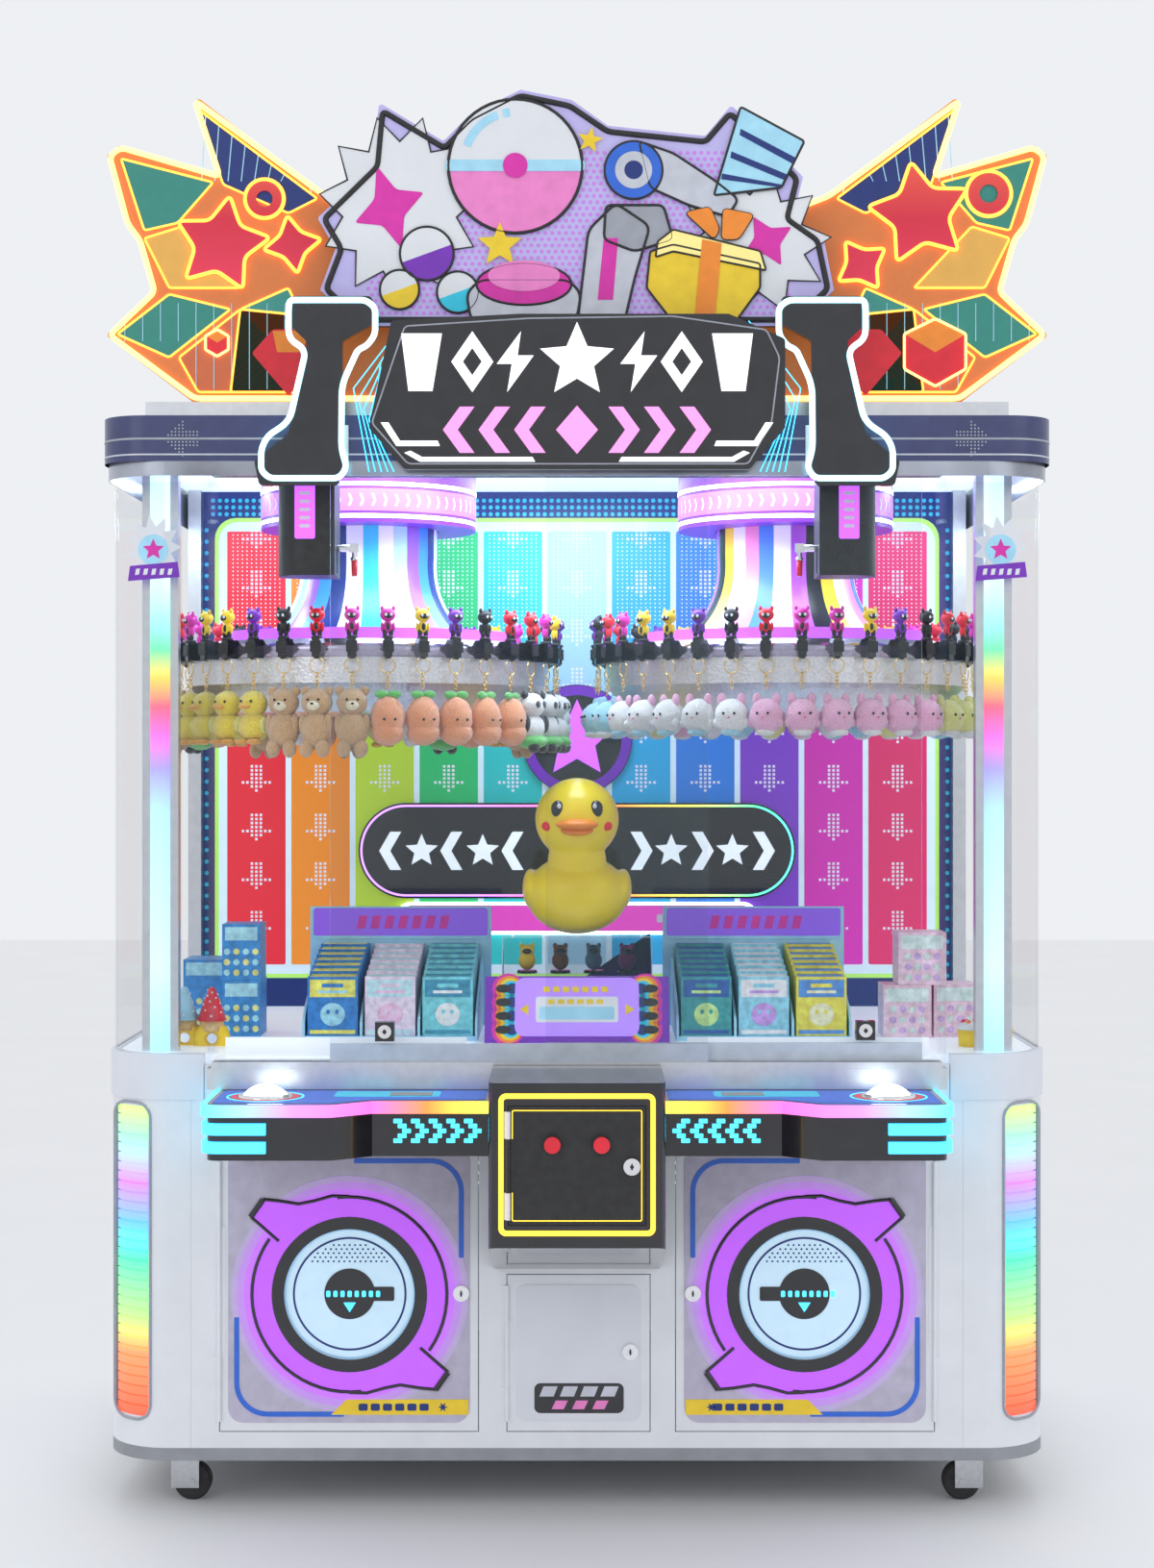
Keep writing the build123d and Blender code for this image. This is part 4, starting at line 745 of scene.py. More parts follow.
class Shape:
    """Collects simple forms into one mesh, each with its own finish."""

    def __init__(self):
        self.verts, self.faces, self.ids, self.soft = [], [], [], []

    def ball(self, centre, size, mat, turns=(12, 8), rough=0.0, tilt=0.0):
        start, (around, up) = len(self.verts), turns
        spin = Matrix.Rotation(tilt, 3, "X")
        for j in range(up + 1):
            b = math.pi * j / up
            for i in range(around):
                a = math.tau * i / around
                push = 1.0 + random.uniform(-rough, rough)
                p = Vector((math.cos(a) * math.sin(b) * size[0], math.sin(a) * math.sin(b) * size[1], math.cos(b) * size[2])) * push
                self.verts.append(tuple(Vector(centre) + spin @ p))
        for j in range(up):
            for i in range(around):
                n = (i + 1) % around
                self.faces.append((start + j * around + i, start + (j + 1) * around + i, start + (j + 1) * around + n, start + j * around + n))
                self.ids.append(mat)
                self.soft.append(True)

    def box(self, low, high, mat):
        start = len(self.verts)
        self.verts += [(x, y, z) for x in (low[0], high[0]) for y in (low[1], high[1]) for z in (low[2], high[2])]
        for f in ((0, 1, 3, 2), (4, 6, 7, 5), (0, 4, 5, 1), (2, 3, 7, 6), (0, 2, 6, 4), (1, 5, 7, 3)):
            self.faces.append(tuple(start + i for i in f))
            self.ids.append(mat)
            self.soft.append(False)

    def hoop(self, centre, radius, wire, mat, axis="Y", count=20, squash=1.0):
        start = len(self.verts)
        for i in range(count):
            a = math.tau * i / count
            for k in range(6):
                b = math.tau * k / 6
                reach, off = radius + wire * math.cos(b), wire * math.sin(b)
                u, w = reach * math.cos(a), reach * math.sin(a) * squash
                self.verts.append((centre[0] + (u if axis == "Y" else off), centre[1] + (off if axis == "Y" else u), centre[2] + w))
        for i in range(count):
            for k in range(6):
                j, m = (i + 1) % count, (k + 1) % 6
                self.faces.append((start + i * 6 + k, start + j * 6 + k, start + j * 6 + m, start + i * 6 + m))
                self.ids.append(mat)
                self.soft.append(True)

    def cone(self, low, high, r0, r1, mat, count=12):
        start = len(self.verts)
        for z, r in ((low[2], r0), (high[2], r1)):
            spot = low if z == low[2] else high
            self.verts += [(spot[0] + r * math.cos(math.tau * i / count), spot[1] + r * math.sin(math.tau * i / count), z) for i in range(count)]
        for i in range(count):
            j = (i + 1) % count
            self.faces.append((start + i, start + j, start + count + j, start + count + i))
            self.ids.append(mat)
            self.soft.append(True)
        self.faces += [tuple(start + i for i in reversed(range(count))), tuple(start + count + i for i in range(count))]
        self.ids += [mat, mat]
        self.soft += [False, False]

    def put(self, other, matrix):
        start = len(self.verts)
        self.verts += [tuple(matrix @ Vector(v)) for v in other.verts]
        self.faces += [tuple(start + i for i in f) for f in other.faces]
        self.ids += other.ids
        self.soft += other.soft

    def piece(self, name, mats, body):
        made = mesh_object(name, self.verts, self.faces, mats, body, self.ids)
        made.data.polygons.foreach_set("use_smooth", self.soft)
        shape = bmesh.new()
        shape.from_mesh(made.data)
        bmesh.ops.remove_doubles(shape, verts=shape.verts[:], dist=0.00002)
        bmesh.ops.recalc_face_normals(shape, faces=shape.faces[:])
        shape.to_mesh(made.data)
        shape.free()
        return made


# Clip: local frame has -Y outwards from the ring, origin on the ring circle, heights as built.
CLIP_MATS = ["black", "gold", "purple", "magenta", "matt_black", "yellow", "red", "white", "chrome"]


def clip_shape(tone):
    """One clip with a little round-headed figure on top and a split ring below."""
    c = Shape()
    c.box((-0.0085, -0.009, 1.690), (0.0085, 0.0225, 1.7275), 0)
    c.box((-0.0110, -0.0125, 1.700), (0.0110, -0.009, 1.722), 4)
    c.hoop((0, -0.004, 1.6950), 0.0068, 0.0022, 0, "Y", 14)
    c.cone((0, 0, 1.7275), (0, 0, 1.7330), 0.012, 0.010, 4)
    c.ball((-0.0062, -0.001, 1.738), (0.0048, 0.0050, 0.008), 4)
    c.ball((0.0062, -0.001, 1.738), (0.0048, 0.0050, 0.008), 4)
    c.ball((0, 0, 1.751), (0.0092, 0.0080, 0.0135), tone)
    c.ball((0, -0.0065, 1.751), (0.0045, 0.0030, 0.0075), 4, (8, 6))
    c.ball((-0.0115, 0, 1.750), (0.0034, 0.0036, 0.0100), tone, (8, 6))
    c.ball((0.0115, 0, 1.750), (0.0034, 0.0036, 0.0100), tone, (8, 6))
    c.ball((0, 0, 1.7740), (0.0160, 0.0145, 0.0138), tone, (16, 10))
    c.ball((0, -0.0092, 1.7725), (0.0100, 0.0064, 0.0068), 4, (12, 8))
    c.ball((-0.0052, -0.0148, 1.7735), (0.0028, 0.0016, 0.0030), 7, (8, 6))
    c.ball((0.0052, -0.0148, 1.7735), (0.0028, 0.0016, 0.0030), 7, (8, 6))
    c.ball((-0.0115, 0, 1.7865), (0.0036, 0.0034, 0.0056), tone, (8, 6))
    c.ball((0.0115, 0, 1.7865), (0.0036, 0.0034, 0.0056), tone, (8, 6))
    c.hoop((0, 0, 1.6735), 0.0150, 0.0012, 1, "Y", 28)
    return c


FUR = {
    "tan": (0.62, 0.40, 0.22), "cream": (0.90, 0.78, 0.58), "gold": (0.98, 0.72, 0.10), "white": (0.92, 0.92, 0.95),
    "peach": (1.0, 0.38, 0.20), "leaf": (0.15, 0.62, 0.15), "black": (0.03, 0.03, 0.035), "sky": (0.38, 0.72, 0.95),
    "pink": (1.0, 0.48, 0.70), "lemon": (0.95, 0.92, 0.30), "mint": (0.55, 0.90, 0.40), "brown": (0.42, 0.26, 0.14),
    "beak": (1.0, 0.42, 0.05), "rose": (0.85, 0.15, 0.35),
}


def fur(name, rgb):
    """Short pile: mottled colour, soft sheen and a deep fine bump."""
    mat = surface(name, rgb, 0.95, grain=420, depth=0.22, bump=1.0, sheen=0.7)
    mat.node_tree.nodes["Principled BSDF"].inputs["Sheen Roughness"].default_value = 0.5
    for item in mat.node_tree.nodes:
        if item.bl_idname == "ShaderNodeBump":
            item.inputs["Distance"].default_value = 0.004
    return mat


FUR_NAMES = list(FUR)
FUR_MATS = [fur(f"fur_{key}", FUR[key]) for key in FUR_NAMES] + [M["black"], M["gold"]]
EYE, CHAIN = len(FUR_NAMES), len(FUR_NAMES) + 1
PILE = (0.035, (26, 18))


def tuft(c, centre, size, tone):
    c.ball(centre, size, FUR_NAMES.index(tone), PILE[1], PILE[0])


def toy(kind):
    """One key-ring toy, hanging from its ring. -Y faces out."""
    t = Shape()
    for k in range(4):
        t.hoop((0, 0, 1.655 - 0.0075 * k), 0.0042, 0.0009, CHAIN, "Y" if k % 2 else "X", 10, 1.25)
    if kind in ("bear", "rabbit"):
        skin = "tan" if kind == "bear" else "cream"
        tuft(t, (0, 0, 1.600), (0.031, 0.027, 0.028), skin)
        tuft(t, (0, -0.001, 1.545), (0.032, 0.030, 0.038), skin)
        tuft(t, (0, -0.024, 1.593), (0.013, 0.010, 0.010), "cream" if kind == "bear" else "white")
        for s in (-1, 1):
            if kind == "bear":
                tuft(t, (s * 0.024, 0.002, 1.622), (0.010, 0.007, 0.010), skin)
            else:
                tuft(t, (s * 0.020, 0.004, 1.626), (0.008, 0.006, 0.022), skin)
            tuft(t, (s * 0.026, -0.008, 1.556), (0.009, 0.010, 0.021), skin)
            tuft(t, (s * 0.017, -0.016, 1.508), (0.014, 0.015, 0.018), skin)
            t.ball((s * 0.011, -0.0262, 1.605), (0.0028, 0.0022, 0.0028), EYE, (8, 6))
        t.ball((0, -0.0335, 1.597), (0.0034, 0.0022, 0.0026), EYE, (8, 6))
    elif kind == "duck":
        tuft(t, (0, 0, 1.598), (0.029, 0.027, 0.027), "gold")
        tuft(t, (0, 0.002, 1.552), (0.033, 0.030, 0.030), "gold")
        t.ball((0, -0.032, 1.592), (0.013, 0.010, 0.005), FUR_NAMES.index("beak"), (12, 8))
        for s in (-1, 1):
            tuft(t, (s * 0.030, 0, 1.556), (0.006, 0.018, 0.018), "lemon")
            tuft(t, (s * 0.014, -0.018, 1.522), (0.013, 0.016, 0.006), "beak")
            t.ball((s * 0.012, -0.0255, 1.603), (0.003, 0.0024, 0.003), EYE, (8, 6))
    elif kind == "peach":
        tuft(t, (0, 0, 1.568), (0.034, 0.032, 0.045), "peach")
        tuft(t, (0, -0.002, 1.540), (0.033, 0.031, 0.026), "peach")
        for s in (-1, 1):
            tuft(t, (s * 0.013, -0.004, 1.616), (0.014, 0.006, 0.008), "leaf")
            t.ball((s * 0.011, -0.0322, 1.566), (0.0028, 0.0022, 0.0030), EYE, (8, 6))
    elif kind == "panda":
        tuft(t, (0, 0, 1.598), (0.031, 0.028, 0.026), "white")
        tuft(t, (0, 0, 1.552), (0.030, 0.028, 0.030), "white")
        tuft(t, (0, -0.004, 1.524), (0.034, 0.031, 0.016), "leaf")
        for s in (-1, 1):
            tuft(t, (s * 0.023, 0, 1.620), (0.010, 0.007, 0.010), "black")
            tuft(t, (s * 0.011, -0.0255, 1.600), (0.0065, 0.004, 0.0075), "black")
            tuft(t, (s * 0.027, -0.006, 1.560), (0.008, 0.010, 0.018), "black")
            tuft(t, (s * 0.016, -0.018, 1.512), (0.012, 0.013, 0.012), "black")
    elif kind == "lamb":
        for k in range(9):
            a = math.tau * k / 9
            tuft(t, (0.017 * math.cos(a), 0.012 * math.sin(a), 1.558 + 0.020 * math.sin(2 * a)), (0.017, 0.017, 0.021), "white")
        tuft(t, (0, -0.004, 1.600), (0.026, 0.024, 0.022), "white")
        for s in (-1, 1):
            tuft(t, (s * 0.026, 0, 1.597), (0.008, 0.006, 0.006), "cream")
            t.ball((s * 0.010, -0.0265, 1.600), (0.0028, 0.0022, 0.0028), EYE, (8, 6))
    else:
        tone = {"puff_sky": "sky", "puff_white": "white", "puff_pink": "pink", "puff_lemon": "lemon", "puff_mint": "mint"}[kind]
        tuft(t, (0, 0, 1.572), (0.034, 0.032, 0.036), tone)
        for s in (-1, 1):
            tuft(t, (s * 0.020, 0.002, 1.606), (0.009, 0.007, 0.013), "pink" if tone == "white" else tone)
            tuft(t, (s * 0.029, -0.006, 1.560), (0.007, 0.010, 0.010), tone)
            t.ball((s * 0.011, -0.0315, 1.578), (0.0028, 0.0022, 0.0032), EYE, (8, 6))
        t.ball((0, -0.0330, 1.570), (0.0026, 0.0018, 0.0020), FUR_NAMES.index("rose"), (8, 6))
        tuft(t, (0, -0.008, 1.541), (0.020, 0.018, 0.008), "white" if tone != "white" else "sky")
    return t


LEFT_KINDS = ["bear"] * 3 + ["duck"] * 4 + ["bear"] * 3 + ["peach"] * 5 + ["panda"] * 3 + ["lamb"] * 4
RIGHT_KINDS = ["puff_sky"] * 3 + ["puff_white"] * 5 + ["puff_pink"] * 6 + ["puff_lemon"] * 3 + ["puff_mint"] * 3
TONES = (2, 3, 4, 5, 6)
templates = {}
for side, name in SIDES:
    clips, plush = Shape(), Shape()
    kinds = LEFT_KINDS if side < 0 else RIGHT_KINDS
    for i in range(CLIPS):
        # Slot 0 is at the ring's -X end; slots run over the front towards +X.
        angle = math.pi + math.tau * i / CLIPS
        where = Matrix.Translation((side * 0.446 + RING_R * math.cos(angle), RING_Y + RING_R * math.sin(angle), 0))
        facing = where @ Matrix.Rotation(angle + math.pi / 2, 4, "Z")
        tone = TONES[(i * 7 + (i // 5) * 3) % 5]
        clips.put(clip_shape(tone), facing)
        kind = kinds[i] if i < len(kinds) else kinds[(i * 5) % len(kinds)]
        sway = Matrix.Rotation(math.radians(random.uniform(-14, 14)), 4, "Z")
        plush.put(toy(kind), facing @ sway)
    made = clips.piece(f"clip_set_{name}", CLIP_MATS, f"carousel_{name}")
    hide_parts(f"clips_{name}")
    made = plush.piece(f"plush_set_{name}", FUR_MATS, f"carousel_{name}")
    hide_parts(f"plush_{name}")

# ---------------------------------------------------------------- strikers
for side, name in SIDES:
    x, y = side * 0.532, FRONT + 0.020
    front = y - 0.058
    plates(f"striker_window_{name}", [rounded(x - 0.020, x + 0.020, 1.918, 2.028, 0.004)], front - 0.0012, 0.0011, "lit_violet")
    marks = [rounded(x - 0.010, x + 0.010, z, z + 0.006, 0.002, 2) for z in (1.940, 1.956, 1.972, 1.988, 2.004)]
    plates(f"striker_marks_{name}", marks, front - 0.0018, 0.0006, "white")
    tip = Shape()
    fx = side * 0.440
    tip.cone((fx, y, 1.849), (fx, y, 1.880), 0.0056, 0.0064, 0, 20)
    tip.cone((fx, y, 1.880), (fx, y, 1.886), 0.0075, 0.0075, 1, 20)
    tip.piece(f"striker_tip_{name}", ["red", "chrome"], f"striker_{name}")
    
# ---------------------------------------------------------------- racks, boxes and display
FLOOR = 0.905
RACK_FRONT = FRONT + 0.246
CARTONS = {
    "left": (((0.03, 0.22, 0.60), (0.92, 0.80, 0.15), (0.35, 0.70, 0.90)), ((0.88, 0.70, 0.90), (0.55, 0.80, 0.95), (0.98, 0.55, 0.75)),
             ((0.20, 0.66, 0.72), (0.05, 0.30, 0.45), (0.85, 0.95, 0.95))),
    "right": (((0.05, 0.35, 0.36), (0.03, 0.12, 0.40), (0.55, 0.85, 0.30)), ((0.30, 0.68, 0.85), (0.95, 0.95, 1.0), (0.60, 0.35, 0.80)),
              ((0.95, 0.78, 0.10), (0.10, 0.30, 0.70), (0.98, 0.92, 0.55))),
}
toy_marks = Shape()
carton_mats = []


def carton_mat(key, rgb):
    mat = surface(key, rgb, 0.4, grain=70, depth=0.25)
    carton_mats.append(mat)
    return len(carton_mats) - 1


cartons = Shape()
for side, name in SIDES:
    for column in range(3):
        order = 2 - column if side < 0 else column
        main, second, accent = CARTONS[name][order]
        ids = [carton_mat(f"carton_{name}_{column}_{k}", rgb) for k, rgb in enumerate((main, second, accent))]
        for row in range(7):
            low = FLOOR + 0.0103 + row * 0.008
            y = RACK_FRONT + row * 0.046 + 0.004
            x = side * (0.208 + (column + 0.5) * 0.119)
            cartons.box((x - 0.052, y, low), (x + 0.052, y + 0.038, low + 0.122), ids[0])
            cartons.box((x - 0.047, y - 0.0006, low + 0.080), (x + 0.047, y, low + 0.116), ids[1])
            cartons.box((x - 0.030, y - 0.0010, low + 0.088), (x + 0.030, y - 0.0006, low + 0.094), ids[2])
            cartons.box((x - 0.022, y - 0.0010, low + 0.100), (x + 0.022, y - 0.0006, low + 0.108), ids[0])
            cartons.box((x - 0.047, y + 0.003, low + 0.122), (x + 0.047, y + 0.035, low + 0.1225), ids[1])
            if row == 0:
                cartons.ball((x, y - 0.0003, low + 0.044), (0.026, 0.0015, 0.024), ids[2], (20, 10))
                cartons.ball((x - 0.009, y - 0.0018, low + 0.050), (0.004, 0.0006, 0.005), ids[0], (10, 6))
                cartons.ball((x + 0.009, y - 0.0018, low + 0.050), (0.004, 0.0006, 0.005), ids[0], (10, 6))
                cartons.box((x - 0.047, y - 0.0010, low + 0.004), (x + 0.047, y - 0.0004, low + 0.012), ids[1])
sides_left = [carton_mat("box_blue", (0.05, 0.28, 0.65)), carton_mat("box_dots", (0.85, 0.80, 0.30)), carton_mat("box_sky", (0.40, 0.75, 0.95))]
sides_right = [carton_mat("box_pink", (0.92, 0.62, 0.75)), carton_mat("box_lilac", (0.65, 0.45, 0.85)), carton_mat("box_mint", (0.70, 0.92, 0.88))]
stack = (((-0.745, -0.665), (0.330, 0.440), (0.0003, 0.118), 0), ((-0.745, -0.665), (0.330, 0.430), (0.1183, 0.236), 0),
         ((-0.850, -0.760), (0.480, 0.600), (0.0003, 0.150), 0), ((0.640, 0.740), (0.300, 0.400), (0.0003, 0.110), 1),
         ((0.672, 0.772), (0.306, 0.406), (0.1103, 0.220), 1), ((0.748, 0.838), (0.320, 0.420), (0.0003, 0.110), 1))
for xs, ys, zs, which in stack:
    ids = sides_right if which else sides_left
    cartons.box((xs[0], FRONT + ys[0], FLOOR + zs[0]), (xs[1], FRONT + ys[1], FLOOR + zs[1]), ids[0])
    mid = (xs[0] + xs[1]) / 2
    cartons.box((xs[0] + 0.006, FRONT + ys[0] - 0.0006, FLOOR + zs[1] - 0.034), (xs[1] - 0.006, FRONT + ys[0], FLOOR + zs[1] - 0.006), ids[2])
    for i in range(4):
        for j in range(3):
            cartons.ball((mid + (i - 1.5) * 0.020, FRONT + ys[0] - 0.0003, FLOOR + zs[0] + 0.016 + j * 0.022), (0.007, 0.0012, 0.007), ids[1 if (i + j) % 2 else 2], (10, 6))
made = cartons.piece("carton_set", carton_mats, "cabinet")
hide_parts("prize_boxes")

wear_faces("prize_racks", ["sky", "purple"], lambda centre, normal: 1 if centre.y > RACK_FRONT + 0.3221 and centre.z > FLOOR + 0.06 else 0)
for side, name in SIDES:
    x0, x1 = sorted((side * 0.190, side * 0.583))
    y = RACK_FRONT + 0.322
    plates(f"rack_header_{name}", [rounded(x0 + 0.004, x1 - 0.004, FLOOR + 0.196, FLOOR + 0.256, 0.008)], y - 0.0008, 0.0007,
           glow(f"rack_header_{name}", (0.20, 0.08, 0.60), 0.5))
    marks = [[(x0 + 0.10 + i * 0.030, FLOOR + 0.212), (x0 + 0.106 + i * 0.030, FLOOR + 0.240), (x0 + 0.124 + i * 0.030, FLOOR + 0.240), (x0 + 0.118 + i * 0.030, FLOOR + 0.212)]
             for i in range(7)]
    plates(f"rack_header_marks_{name}", marks, y - 0.0014, 0.0006, "magenta")
    tube(f"rack_header_line_{name}", [rounded(x0 + 0.004, x1 - 0.004, FLOOR + 0.190, FLOOR + 0.258, 0.008)], y - 0.0010, 0.0016, "sky")

# Sloping centre board: cut-outs lie on its slope.
SLOPE_LOW, SLOPE_HIGH = Vector((0, FRONT + 0.205, FLOOR + 0.008)), Vector((0, FRONT + 0.265, FLOOR + 0.132))
SLOPE = (SLOPE_HIGH - SLOPE_LOW).normalized()
OUT = Vector((0, -SLOPE.z, SLOPE.y))


def on_slope(name, outlines, lift, mat):
    """Cut-outs on the sloping board: first number across, second up the slope."""
    verts, faces = [], []
    for pts in outlines:
        area = sum(a[0] * b[1] - b[0] * a[1] for a, b in zip(pts, pts[1:] + pts[:1]))
        pts = pts if area > 0 else pts[::-1]
        start = len(verts)
        for height in (lift, 0.0):
            for u, w in pts:
                verts.append(tuple(Vector((u, SLOPE_LOW.y, SLOPE_LOW.z)) + SLOPE * w + OUT * height))
        n = len(pts)
        faces.append(tuple(range(start, start + n)))
        for i in range(n):
            j = (i + 1) % n
            faces.append((start + j, start + i, start + n + i, start + n + j))
    return mesh_object(name, verts, faces, [mat], "cabinet")


for k, (grow, tone) in enumerate(((0.0, "magenta"), (0.010, "orange"), (0.020, "yellow"), (0.030, "cyan"), (0.040, "navy"))):
    scallops = []
    for s in (-1, 1):
        for j in range(4):
            scallops.append(circle(s * (0.142 - grow * 0.2), 0.020 + j * 0.030, 0.034 - grow * 0.55, 20))
    on_slope(f"slope_scallop_{k}", scallops, 0.0006 + 0.0003 * k, tone)
on_slope("slope_face", [rounded(-0.128, 0.128, 0.006, 0.134, 0.02)], 0.0022, glow("slope_face", (0.45, 0.25, 0.90), 0.35))
on_slope("slope_card", [rounded(-0.085, 0.085, 0.036, 0.092, 0.006)], 0.0026, "white")
on_slope("slope_card_inner", [rounded(-0.077, 0.077, 0.042, 0.070, 0.004)], 0.0029, "sky")
on_slope("slope_marks", [rounded(-0.070 + i * 0.020, -0.056 + i * 0.020, 0.102, 0.114, 0.003, 2) for i in range(7)]
         + [rounded(-0.060 + i * 0.020, -0.046 + i * 0.020, 0.076, 0.086, 0.003, 2) for i in range(6)], 0.0032, "yellow")
on_slope("slope_arrows", [[(s * 0.118, 0.064), (s * 0.100, 0.052), (s * 0.100, 0.076)] for s in (-1, 1)], 0.0029, "yellow")
ovals = [[(s * 0.152 + 0.016 * math.cos(a), 0.020 + j * 0.030 + 0.009 * math.sin(a)) for a in [math.tau * q / 20 for q in range(20)]]
         for s in (-1, 1) for j in range(4)]
on_slope("slope_ovals", ovals, 0.0024, "black")

# Clear box with small figures, on the display.
low, high = Vector((-0.156, FRONT + 0.300, FLOOR + 0.129)), Vector((0.156, FRONT + 0.430, FLOOR + 0.211))
wear_faces("center_display", ["purple", "glass"], lambda centre, normal: 1 if centre.z > FLOOR + 0.1295 else 0)
small = Shape()
small_mats = ["yellow", "sky", "magenta", "silver", "black", "orange"]
for i in range(4):
    x = -0.105 + i * 0.070
    y = low.y + 0.045
    small.cone((x, y, low.z + 0.0035), (x, y, low.z + 0.010), 0.022, 0.020, 4, 24)
    small.ball((x, y, low.z + 0.030), (0.018, 0.017, 0.020), (0, 5, 1, 2)[i], (18, 12))
    small.ball((x, y, low.z + 0.050), (0.015, 0.014, 0.013), (0, 5, 1, 2)[i], (18, 12))
    small.ball((x, y - 0.0125, low.z + 0.050), (0.010, 0.004, 0.006), 4, (12, 8))
    for s in (-1, 1):
        small.ball((x + s * 0.011, y, low.z + 0.061), (0.005, 0.004, 0.006), (0, 5, 1, 2)[i], (10, 6))
small.piece("small_figures", small_mats, "cabinet")
# The clear box's edge tube carries the painted edge highlight.
tube("show_box_edge", [[(low.x, low.z), (high.x, low.z), (high.x, high.z), (low.x, high.z)]], low.y + 0.001, 0.0012, "edge_glass_highlight")

# Display toy: a plain rubber duck, its forms melted into one another.
duck = Shape()
dy = FRONT + 0.366
base = FLOOR + 0.211
duck.ball((0, dy + 0.010, base + 0.086), (0.108, 0.105, 0.084), 0, (48, 28))
duck.ball((0, dy + 0.078, base + 0.128), (0.045, 0.040, 0.040), 0, (28, 20))
duck.ball((0, dy - 0.020, base + 0.160), (0.062, 0.058, 0.050), 0, (32, 20))
duck.ball((0, dy - 0.026, base + 0.246), (0.088, 0.086, 0.086), 0, (56, 36))
for s in (-1, 1):
    duck.ball((s * 0.098, dy + 0.020, base + 0.098), (0.018, 0.060, 0.042), 0, (24, 16))
body = duck.piece("duck_body", ["duck"], "cabinet")
melt = body.modifiers.new("melt", "REMESH")
melt.mode = "VOXEL"
melt.voxel_size = 0.003
melt.use_smooth_shade = True
relax = body.modifiers.new("relax", "SMOOTH")
relax.factor = 0.8
relax.iterations = 10
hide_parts("display_toy")
bill = Shape()
bill.ball((0, dy - 0.116, base + 0.236), (0.044, 0.032, 0.012), 0, (32, 16))
bill.ball((0, dy - 0.110, base + 0.224), (0.034, 0.024, 0.010), 0, (32, 16), tilt=0.25)
for s in (-1, 1):
    bill.ball((s * 0.040, dy - 0.096, base + 0.268), (0.014, 0.010, 0.018), 1, (24, 16))
    bill.ball((s * 0.037, dy - 0.1045, base + 0.274), (0.0045, 0.003, 0.0055), 2, (12, 8))
    bill.ball((s * 0.062, dy - 0.083, base + 0.232), (0.012, 0.008, 0.010), 3, (20, 12))
bill.piece("duck_face", ["orange", "black", "white", "red"], "cabinet")

# ---------------------------------------------------------------- glass doors
for name, x0, y in (("left", -0.477, FRONT - 0.095), ("right", -0.061, FRONT - 0.077)):
    x1 = x0 + 0.730

    def door_rule(centre, normal, x0=x0, y=y):
        if centre.z < 0.9367 and abs(centre.y - y - 0.003) > 0.0031:
            return 1
        if centre.z < 0.9367:
            return 1
        if 0.941 < centre.z < 0.981 and abs(centre.y - y - 0.003) > 0.0031:
            return 2
        if abs(normal.x) > 0.9 or abs(normal.z) > 0.9:
            return 3
        return 0
    # The glass door's edge faces get the painted edge highlight.
    wear_faces(f"glass_door_{name}", ["glass", "frost", "black", "edge_glass_highlight"], door_rule)
    key_x = x0 + 0.106 if name == "left" else x0 + 0.730 - 0.110
    depth = 0.012 if name == "left" else 0.008
    plates(f"glass_key_{name}", ring(key_x, 0.961, 0.004, 0.0130), y - depth - 0.0012, 0.0011, "chrome", f"glass_door_{name}")
    plates(f"glass_key_slot_{name}", [rounded(key_x - 0.0013, key_x + 0.0013, 0.956, 0.966, 0.0006, 2)], y - depth - 0.0016, 0.0015, "matt_black", f"glass_door_{name}")

# ---------------------------------------------------------------- roof band stripes
def wrap(name, node_name, z0, z1, radius, lift, mat):
    """A thin strip round the front and sides of the rounded plan of a cabinet node."""
    a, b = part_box(node_name)
    x0, x1, y0, y1 = a.x - lift, b.x + lift, a.y - lift, b.y + lift
    r = radius + lift
    path = [(x0, y1 - r)]
    for cx, start in ((x0 + r, 180), (x1 - r, 270)):
        for k in range(13):
            t = math.radians(start + 7.5 * k)
            path.append((cx + r * math.cos(t), y0 + r + r * math.sin(t)))
    path.append((x1, y1 - r))
    n = len(path)
    verts = [(x, y, z) for z in (z0, z1) for x, y in path]
    faces = [(i, i + 1, n + i + 1, n + i) for i in range(n - 1)]
    return mesh_object(name, verts, faces, [mat], "cabinet", None, True)


BAND_R = 0.090
wrap("roof_navy", "roof_band", 2.062, 2.150, BAND_R, 0.0008, surface("band_navy", (0.05, 0.06, 0.16), 0.25))
wrap("roof_line", "roof_band", 2.103, 2.107, BAND_R, 0.0014, "grey")
wrap("roof_low_line", "roof_band", 2.073, 2.076, BAND_R, 0.0014, "silver")
spots = []
for side in (-1, 1):
    for i in range(9):
        wide = 5 - abs(i - 4) if i > 4 else (2 if i < 4 else 5)
        for c in range(-wide, wide + 1):
            if abs(c) <= 2 or i >= 4:
                spots.append((side * (0.760 + (i - 4) * 0.007), 2.105 + c * 0.0065))
dots("roof_arrows", spots, 0.0022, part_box("roof_band")[0].y - 0.0016, "grey", shape=4)

